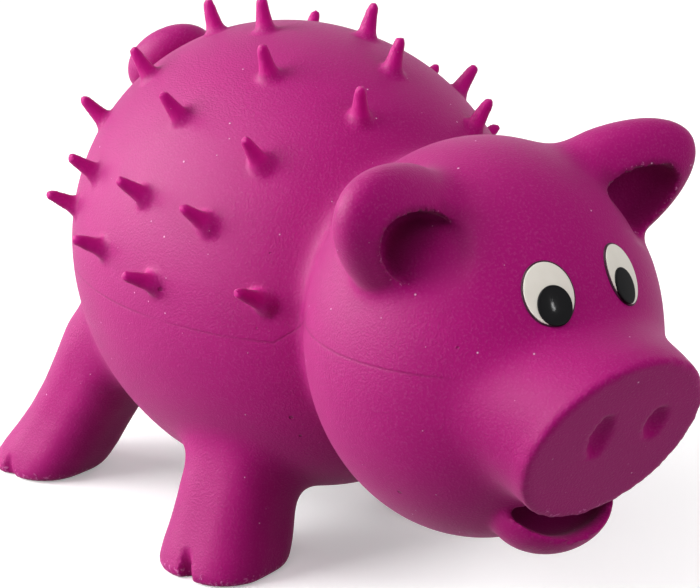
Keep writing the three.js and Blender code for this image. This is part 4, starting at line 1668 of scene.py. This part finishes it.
@dataclass
class Eye:
    """A painted eye: a white oval, with the pupil low in it."""

    side: Side
    white: tuple[float, float]
    pupil: tuple[float, float]
    glance: float
    drop: float
    roll: float
    axial: float
    tilt: float
    outline: float = 0.35
    paint: float = 0.9
    paint_edge: float = 0.3
    line_lift: float = -0.1
    white_lift: float = 0.1
    pupil_lift: float = 0.5
    start: float = 5.0
    sides: int = 64
    rings: int = 6

    def __post_init__(self) -> None:
        """Works out the eye's directions on the head."""
        self.point, self.normal = HEAD.place(self.axial, -self.side.value * self.roll)
        up = (Z_AXIS - self.normal * self.normal.z).normalized()
        turn = Matrix.Rotation(math.radians(self.tilt), 3, self.normal)
        self.up = turn @ up
        self.across = self.up.cross(self.normal)

    def patch(
        self, name: str, size: tuple[float, float], aside: Vector, lift: float, skin: bpy.types.Object
    ) -> bpy.types.Object:
        """Lays a thin oval of paint on the skin.

        Args:
            name: The piece's name.
            size: Half its width and half its height.
            aside: Where its middle lies from the eye's middle.
            lift: The height of its middle layer over the skin.
            skin: The undivided skin.

        Returns:
            The closed patch, its rim rounded.
        """
        bpy.ops.object.select_all(action="DESELECT")
        bpy.ops.mesh.primitive_circle_add(vertices=self.sides, radius=MM, fill_type="NGON")
        obj = bpy.context.object
        obj.name = name
        bpy.ops.object.mode_set(mode="EDIT")
        bpy.ops.mesh.select_all(action="SELECT")
        for _ in range(self.rings - 1):
            bpy.ops.mesh.inset(thickness=MM / self.rings)
        bpy.ops.mesh.select_all(action="SELECT")
        bpy.ops.transform.resize(value=(*size, 1), center_override=(0, 0, 0))
        bpy.ops.object.mode_set(mode="OBJECT")
        start = self.point + aside + self.normal * self.start
        settle(obj, frame_matrix(self.across, self.up, self.normal, start))
        finish_modifier(
            obj,
            "SHRINKWRAP",
            target=skin,
            wrap_method="PROJECT",
            use_negative_direction=True,
            use_positive_direction=False,
        )
        # A point whose line misses the skin at an edge is laid on it by the second wrap.
        finish_modifier(obj, "SHRINKWRAP", target=skin, wrap_method="NEAREST_SURFACEPOINT")
        settle(obj, Matrix.Translation(self.normal * lift * MM))
        finish_modifier(obj, "SOLIDIFY", thickness=self.paint * MM, offset=0)
        round_edges(obj, self.paint_edge)
        shade(obj, angle=50)
        return obj

    def build(
        self,
        skin: bpy.types.Object,
        white: bpy.types.Material,
        black: bpy.types.Material,
        line: bpy.types.Material,
    ) -> None:
        """Paints the eye.

        Args:
            skin: The undivided skin.
            white: The white's paint.
            black: The pupil's paint.
            line: The paint of the thin line round the white.
        """
        word = self.side.word
        middle = Vector((0, 0, 0))
        around = (self.white[0] + self.outline, self.white[1] + self.outline)
        rim = self.patch(f"{word}_eye_line_paint", around, middle, self.line_lift, skin)
        dress(rim, line)
        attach(rim, "head")
        patch = self.patch(f"{word}_eye_white_paint", self.white, middle, self.white_lift, skin)
        dress(patch, white)
        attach(patch, "head")
        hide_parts(f"{word}_eye_white")
        aside = self.across * self.glance - self.up * self.drop
        dot = self.patch(f"{word}_pupil_paint", self.pupil, aside, self.pupil_lift, skin)
        dress(dot, black)
        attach(dot, "head")
        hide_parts(f"{word}_pupil")


@dataclass
class Voice:
    """The grunting unit in the belly, and the vent plug below it."""

    middle: Vector = field(default_factory=lambda: Vector((-40, 0, 0)))
    radius: float = 16
    bellows_floor: float = 22.961
    bellows_height: float = 20
    fold_depth: float = 3.5
    wall: float = 1.0
    travel: float = 8
    top: float = 46.4
    hole: float = 8
    stem: float = 7.6
    collar: float = 11
    stem_top: float = 19.16
    bore: float = 2
    through: float = 30
    clearance: float = 0.9
    fold_play: float = 0.2
    folds: int = 3
    steps_per_fold: int = 8
    overcut: float = 1
    collar_play: float = 0.4
    plug_edge: float = 0.5

    def pocket(self) -> bpy.types.Object:
        """Makes the space that the filling leaves for the unit.

        Returns:
            The tool's solid.
        """
        radius, top = self.radius + self.clearance, self.top + self.clearance
        tool = turned_form("voice_pocket", [(0, radius), (top, radius)], sides=64)
        return settle(tool, Matrix.Translation(self.middle * MM))

    def vent(self) -> bpy.types.Object:
        """Makes the hole through the belly."""
        tool = turned_form("vent_hole", [(0, self.hole), (self.through, self.hole)], sides=48)
        return settle(tool, Matrix.Translation(self.middle * MM))

    def build_bellows(self, vinyl: bpy.types.Material) -> bpy.types.Object:
        """Turns the bellows with round-edged folds and hollows it.

        Args:
            vinyl: Its material.

        Returns:
            The piece.
        """
        steps = self.folds * self.steps_per_fold
        profile, inside = [], []
        for step in range(steps + 1):
            height = self.bellows_floor + self.bellows_height * step / steps
            wave = 0.5 - 0.5 * math.cos(2 * math.pi * step / self.steps_per_fold)
            radius = self.radius - self.fold_play - (self.fold_depth - 2 * self.fold_play) * wave
            profile.append((height, radius))
            inside.append((height, radius - self.wall))
        inside[0] = (self.bellows_floor - self.overcut, inside[0][1])
        inside[-1] = (self.bellows_floor + self.bellows_height + self.overcut, inside[-1][1])
        bellows = turned_form("bellows_vinyl", profile, sides=64)
        combine(bellows, turned_form("bellows_inside", inside, sides=64), Cut.REMOVE)
        settle(bellows, Matrix.Translation(self.middle * MM))
        shade(bellows)
        dress(bellows, vinyl)
        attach(bellows, "torso")
        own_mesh(bellows)
        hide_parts("voice_bellows")
        return bellows

    def build_plug(self, latex: bpy.types.Material) -> bpy.types.Object:
        """Moulds the vent plug: a stem flush with the belly, a collar inside it and a bore.

        Args:
            latex: Its material.

        Returns:
            The piece.
        """
        plug = turned_form("vent_plug_latex", [(0, self.stem), (self.stem_top, self.stem)], sides=64)
        collar = turned_form("plug_collar", [(0, self.collar), (self.stem_top, self.collar)], sides=64)
        place = Matrix.Translation(self.middle * MM)
        settle(plug, place)
        combine(plug, TORSO.build("belly", segments=96), Cut.KEEP)
        settle(collar, place)
        inside = TORSO.grown(-SKIN - self.collar_play).build("belly_inside", segments=96)
        combine(collar, inside, Cut.KEEP)
        combine(plug, collar, Cut.JOIN)
        bore = turned_form("plug_bore", [(0, self.bore), (self.through, self.bore)], sides=32)
        combine(plug, settle(bore, place), Cut.REMOVE)
        round_edges(plug, self.plug_edge)
        shade(plug)
        dress(plug, latex)
        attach(plug, "torso")
        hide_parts("vent_plug")
        return plug


@dataclass
class Studio:
    """Pale floor, soft light and the camera at the photograph's angle."""

    eye: Vector = field(default_factory=lambda: Vector((466.05, -319.02, 254.27)))
    target: Vector = field(default_factory=lambda: Vector((-5.5, 0, 63)))
    lens: float = 128.57
    clip: tuple[float, float] = (10, 20000)
    paper: str = "#f0f0f0"
    paper_glow: float = 0.3
    # What the floor throws back on the pig is duller than the paper looks.
    bounce: str = "#8c8c8c"
    floor_size: float = 6000
    floor_fade: tuple[float, float] = (450, 1000)
    lamp_size: float = 550
    lamp_distance: float = 900
    spark_size: float = 18
    sky: float = 0.44

    def build(self) -> None:
        """Adds the camera, the floor, the lamps and the world."""
        scene = bpy.context.scene
        scene.view_settings.view_transform = "Standard"
        camera = bpy.data.cameras.new("camera")
        camera.lens = self.lens
        camera.clip_start, camera.clip_end = (limit * MM for limit in self.clip)
        holder = bpy.data.objects.new("camera", camera)
        scene.collection.objects.link(holder)
        holder.location = self.eye * MM
        holder.rotation_euler = (self.target - self.eye).to_track_quat("-Z", "Y").to_euler()
        scene.camera = holder
        bpy.ops.object.select_all(action="DESELECT")
        bpy.ops.mesh.primitive_plane_add(size=self.floor_size * MM)
        floor = bpy.context.object
        floor.name = "floor"
        dress(floor, self.floor_material())
        # Each lamp has its name, its direction from the pig, its power in watts, what it does and its side.
        lamps = (
            ("left_key", (-0.30, -0.86, 0.42), 7.2, Reach.FULL, self.lamp_size),
            ("left_rim", (-0.70, -0.62, 0.36), 4.8, Reach.FULL, self.lamp_size),
            ("low_left", (-0.25, -0.95, 0.18), 2.6, Reach.FULL, self.lamp_size),
            ("front_fill", (0.80, 0.30, 0.52), 2.4, Reach.SOFT, self.lamp_size),
            ("high_front", (0.45, -0.25, 0.86), 1.4, Reach.SOFT, self.lamp_size),
            ("far_side", (-0.45, 0.87, 0.20), 2.5, Reach.SOFT, self.lamp_size),
            ("left_window", (-0.70, -0.62, 0.36), 32.0, Reach.SHINE, self.lamp_size),
            ("low_window", (-0.25, -0.95, 0.18), 13.0, Reach.SHINE, self.lamp_size),
            ("high_window", (-0.25, -0.55, 0.80), 11.0, Reach.SHINE, self.lamp_size),
            ("eye_spark", (0.95, 0.15, 0.40), 0.12, Reach.SHINE, self.spark_size),
        )
        for name, direction, power, reach, size in lamps:
            self.lamp(name, Vector(direction), power, reach, size)
        self.world()

    def lamp(self, name: str, direction: Vector, power: float, reach: Reach, size: float) -> None:
        """Adds a square lamp that faces the pig.

        Args:
            name: Its name.
            direction: Where it stands, seen from the pig.
            power: Its power in watts.
            reach: What it lights.
            size: Its side, in millimetres.
        """
        light = bpy.data.lights.new(name, "AREA")
        light.size = size * MM
        light.energy = power
        holder = bpy.data.objects.new(name, light)
        bpy.context.scene.collection.objects.link(holder)
        towards = direction.normalized()
        holder.location = (self.target + towards * self.lamp_distance) * MM
        holder.rotation_euler = (-towards).to_track_quat("-Z", "Y").to_euler()
        holder.visible_diffuse, holder.visible_glossy = reach.value

    def floor_material(self) -> bpy.types.Material:
        """Builds matte paper that the camera sees as white, with the pig's shadow on it.

        Far from the pig the paper fades into the white background.

        Returns:
            The material.
        """
        material = new_material("white_paper")
        tree = material.node_tree
        seen = self.seen(tree)
        paper = add_node(tree, "ShaderNodeBsdfDiffuse", {"Color": linear(self.paper)})
        glow = add_node(tree, "ShaderNodeEmission", {"Strength": self.paper_glow})
        lit = add_node(tree, "ShaderNodeAddShader", {0: paper.outputs[0], 1: glow.outputs[0]})
        where = add_node(tree, "ShaderNodeTexCoord").outputs["Object"]
        distance = add_node(tree, "ShaderNodeVectorMath", {0: where}, operation="LENGTH").outputs["Value"]
        low, high = (radius * MM for radius in self.floor_fade)
        far = add_node(tree, "ShaderNodeMapRange", {"Value": distance, "From Min": low, "From Max": high})
        blank = add_node(tree, "ShaderNodeEmission", {"Strength": 1.0})
        bright = add_node(
            tree, "ShaderNodeMixShader", {0: far.outputs[0], 1: lit.outputs[0], 2: blank.outputs[0]}
        )
        dull = add_node(tree, "ShaderNodeBsdfDiffuse", {"Color": linear(self.bounce)})
        both = add_node(tree, "ShaderNodeMixShader", {0: seen, 1: dull.outputs[0], 2: bright.outputs[0]})
        add_node(tree, "ShaderNodeOutputMaterial", {"Surface": both.outputs[0]})
        return material

    def world(self) -> None:
        """Lights the scene from a dim sky that the camera sees as white."""
        world = bpy.data.worlds.new("studio")
        bpy.context.scene.world = world
        world.use_nodes = True
        tree = world.node_tree
        tree.nodes.clear()
        inputs = {"Value": self.seen(tree), "To Min": self.sky, "To Max": 1.0}
        strength = add_node(tree, "ShaderNodeMapRange", inputs)
        sky = add_node(
            tree, "ShaderNodeBackground", {"Color": linear("#ffffff"), "Strength": strength.outputs[0]}
        )
        add_node(tree, "ShaderNodeOutputWorld", {"Surface": sky.outputs[0]})

    def seen(self, tree: bpy.types.NodeTree) -> bpy.types.NodeSocket:
        """Finds the rays that show the background: the camera's, and those mirrored or let through.

        Args:
            tree: The floor's or the world's node tree.

        Returns:
            A value that is 1 on such a ray.
        """
        path = add_node(tree, "ShaderNodeLightPath").outputs
        total = path["Is Camera Ray"]
        for kind in ("Is Glossy Ray", "Is Transmission Ray"):
            inputs = {0: total, 1: path[kind]}
            total = add_node(tree, "ShaderNodeMath", inputs, operation="MAXIMUM").outputs[0]
        return total


def paint_mask(piece: bpy.types.Object, name: str, values: np.ndarray) -> None:
    """Gives each vertex of a piece a value that its material reads.

    Args:
        piece: The piece.
        name: The mask's name.
        values: The values, from 0 to 1.
    """
    mask = piece.data.attributes.new(name, "FLOAT", "POINT")
    mask.data.foreach_set("value", values.astype(np.float32))


def copy_normals(piece: bpy.types.Object, source: bpy.types.Object) -> None:
    """Takes the shading of a piece from the undivided skin, so that its borders don't show.

    Args:
        piece: The piece.
        source: The whole skin.
    """
    finish_modifier(
        piece,
        "DATA_TRANSFER",
        object=source,
        use_loop_data=True,
        data_types_loops={"CUSTOM_NORMAL"},
        loop_mapping="POLYINTERP_NEAREST",
        use_max_distance=True,
        max_distance=NORMAL_REACH * MM,
    )


def main() -> None:
    """Builds the studio and every piece of the pig, in order."""
    logging.basicConfig(level=logging.INFO, format="%(name)s %(relativeCreated)d ms: %(message)s")
    Studio().build()
    latex = Latex("slush_moulded_latex").make()
    # Loose fibre gives the eye a dull, fluffy off-white.
    fibre = Plain("polyester_fibre", "#e6e2da", "#cfc9bd", roughness=0.9, cell=1.4, relief=0.5).make()
    # White enamel gives the eye a warm white with a soft gloss.
    white = Plain("white_eye_paint", "#dcd7ce", "#d2ccc2", roughness=0.3, cell=3.0, gloss=0.3).make()
    # Black enamel gives the eye a deep black with a small clear spark.
    black = Plain(
        "black_eye_paint", "#070709", "#0c0b0e", roughness=0.3, cell=3.0, coat=0.12, gloss=0.05
    ).make()
    # Thin paint over the latex gives the eye a fine dark purple edge.
    line = Plain("dark_outline_paint", "#3d0a2c", "#340826", roughness=0.4, cell=3.0, gloss=0.2).make()
    # Moulded plastic gives the eye a plain cream with a dull shine.
    plastic = Plain("moulded_plastic", "#d8d4c4", "#cec9b8", roughness=0.45, cell=2.0).make()
    # Thin vinyl sheet gives the eye a smooth blue-grey.
    vinyl = Plain("bellows_vinyl_sheet", "#6f7a80", "#656f75", roughness=0.5, cell=1.2).make()
    # Rolled brass gives the eye a yellow metal shine.
    brass = Plain(
        "reed_brass_strip", "#b08d3c", "#a38238", roughness=0.32, cell=0.8, metallic=1.0
    ).make()
    hide = Hide(make_legs(), [Ear(side) for side in Side], Snout(), Tail(), Spines())
    voice = Voice()
    whole = hide.mould()
    combine(whole, hide.cavity(SKIN, "skin_space"), Cut.REMOVE)
    combine(whole, voice.vent(), Cut.REMOVE)
    shade(whole)
    LOG.info("hide moulded with %d faces", len(whole.data.polygons))
    source = twin(whole, "normal_source")
    # The eyes are painted by hand, so the two differ a little.
    eyes = (
        Eye(
            Side.LEFT,
            white=(4.4, 6.8),
            pupil=(2.95, 4.1),
            glance=-1.1,
            drop=2.4,
            roll=30.3,
            axial=56.7,
            tilt=3,
        ),
        Eye(
            Side.RIGHT,
            white=(5.55, 6.8),
            pupil=(3.9, 4.4),
            glance=0.2,
            drop=2.8,
            roll=26.0,
            axial=58.75,
            tilt=12,
        ),
    )
    for eye in eyes:
        eye.build(source, white, black, line)
    LOG.info("eyes painted")
    pieces = hide.divide(whole, "latex")
    for name, piece in pieces.items():
        shade(piece)
        copy_normals(piece, source)
        dress(piece, latex)
        hide.paint(piece)
        hide.bend(name, piece)
        node = name if name not in ("torso", "head") else f"{name}_skin"
        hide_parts(node)
        LOG.info("%s has %d faces", piece.name, len(piece.data.polygons))
    discard(source)
    filling = hide.cavity(SKIN + FILLING_PLAY, "filling")
    combine(filling, voice.pocket(), Cut.REMOVE)
    for name, piece in hide.divide(filling, "fibre").items():
        shade(piece)
        dress(piece, fibre)
        hide.bend(name, piece)
        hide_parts(f"{name}_fill")
        LOG.info("%s has %d faces", piece.name, len(piece.data.polygons))
    voice.build_bellows(vinyl)
    voice.build_plug(latex)
    finishes = {
        "voice_base": plastic,
        "voice_lid": plastic,
        "reed_tube": plastic,
        "reed_clip": plastic,
        "reed_tongue": brass,
    }
    for name, finish in finishes.items():
        dress(bpy.data.objects[name], finish)
    LOG.info("voice unit dressed")


if __name__ == "__main__":
    main()
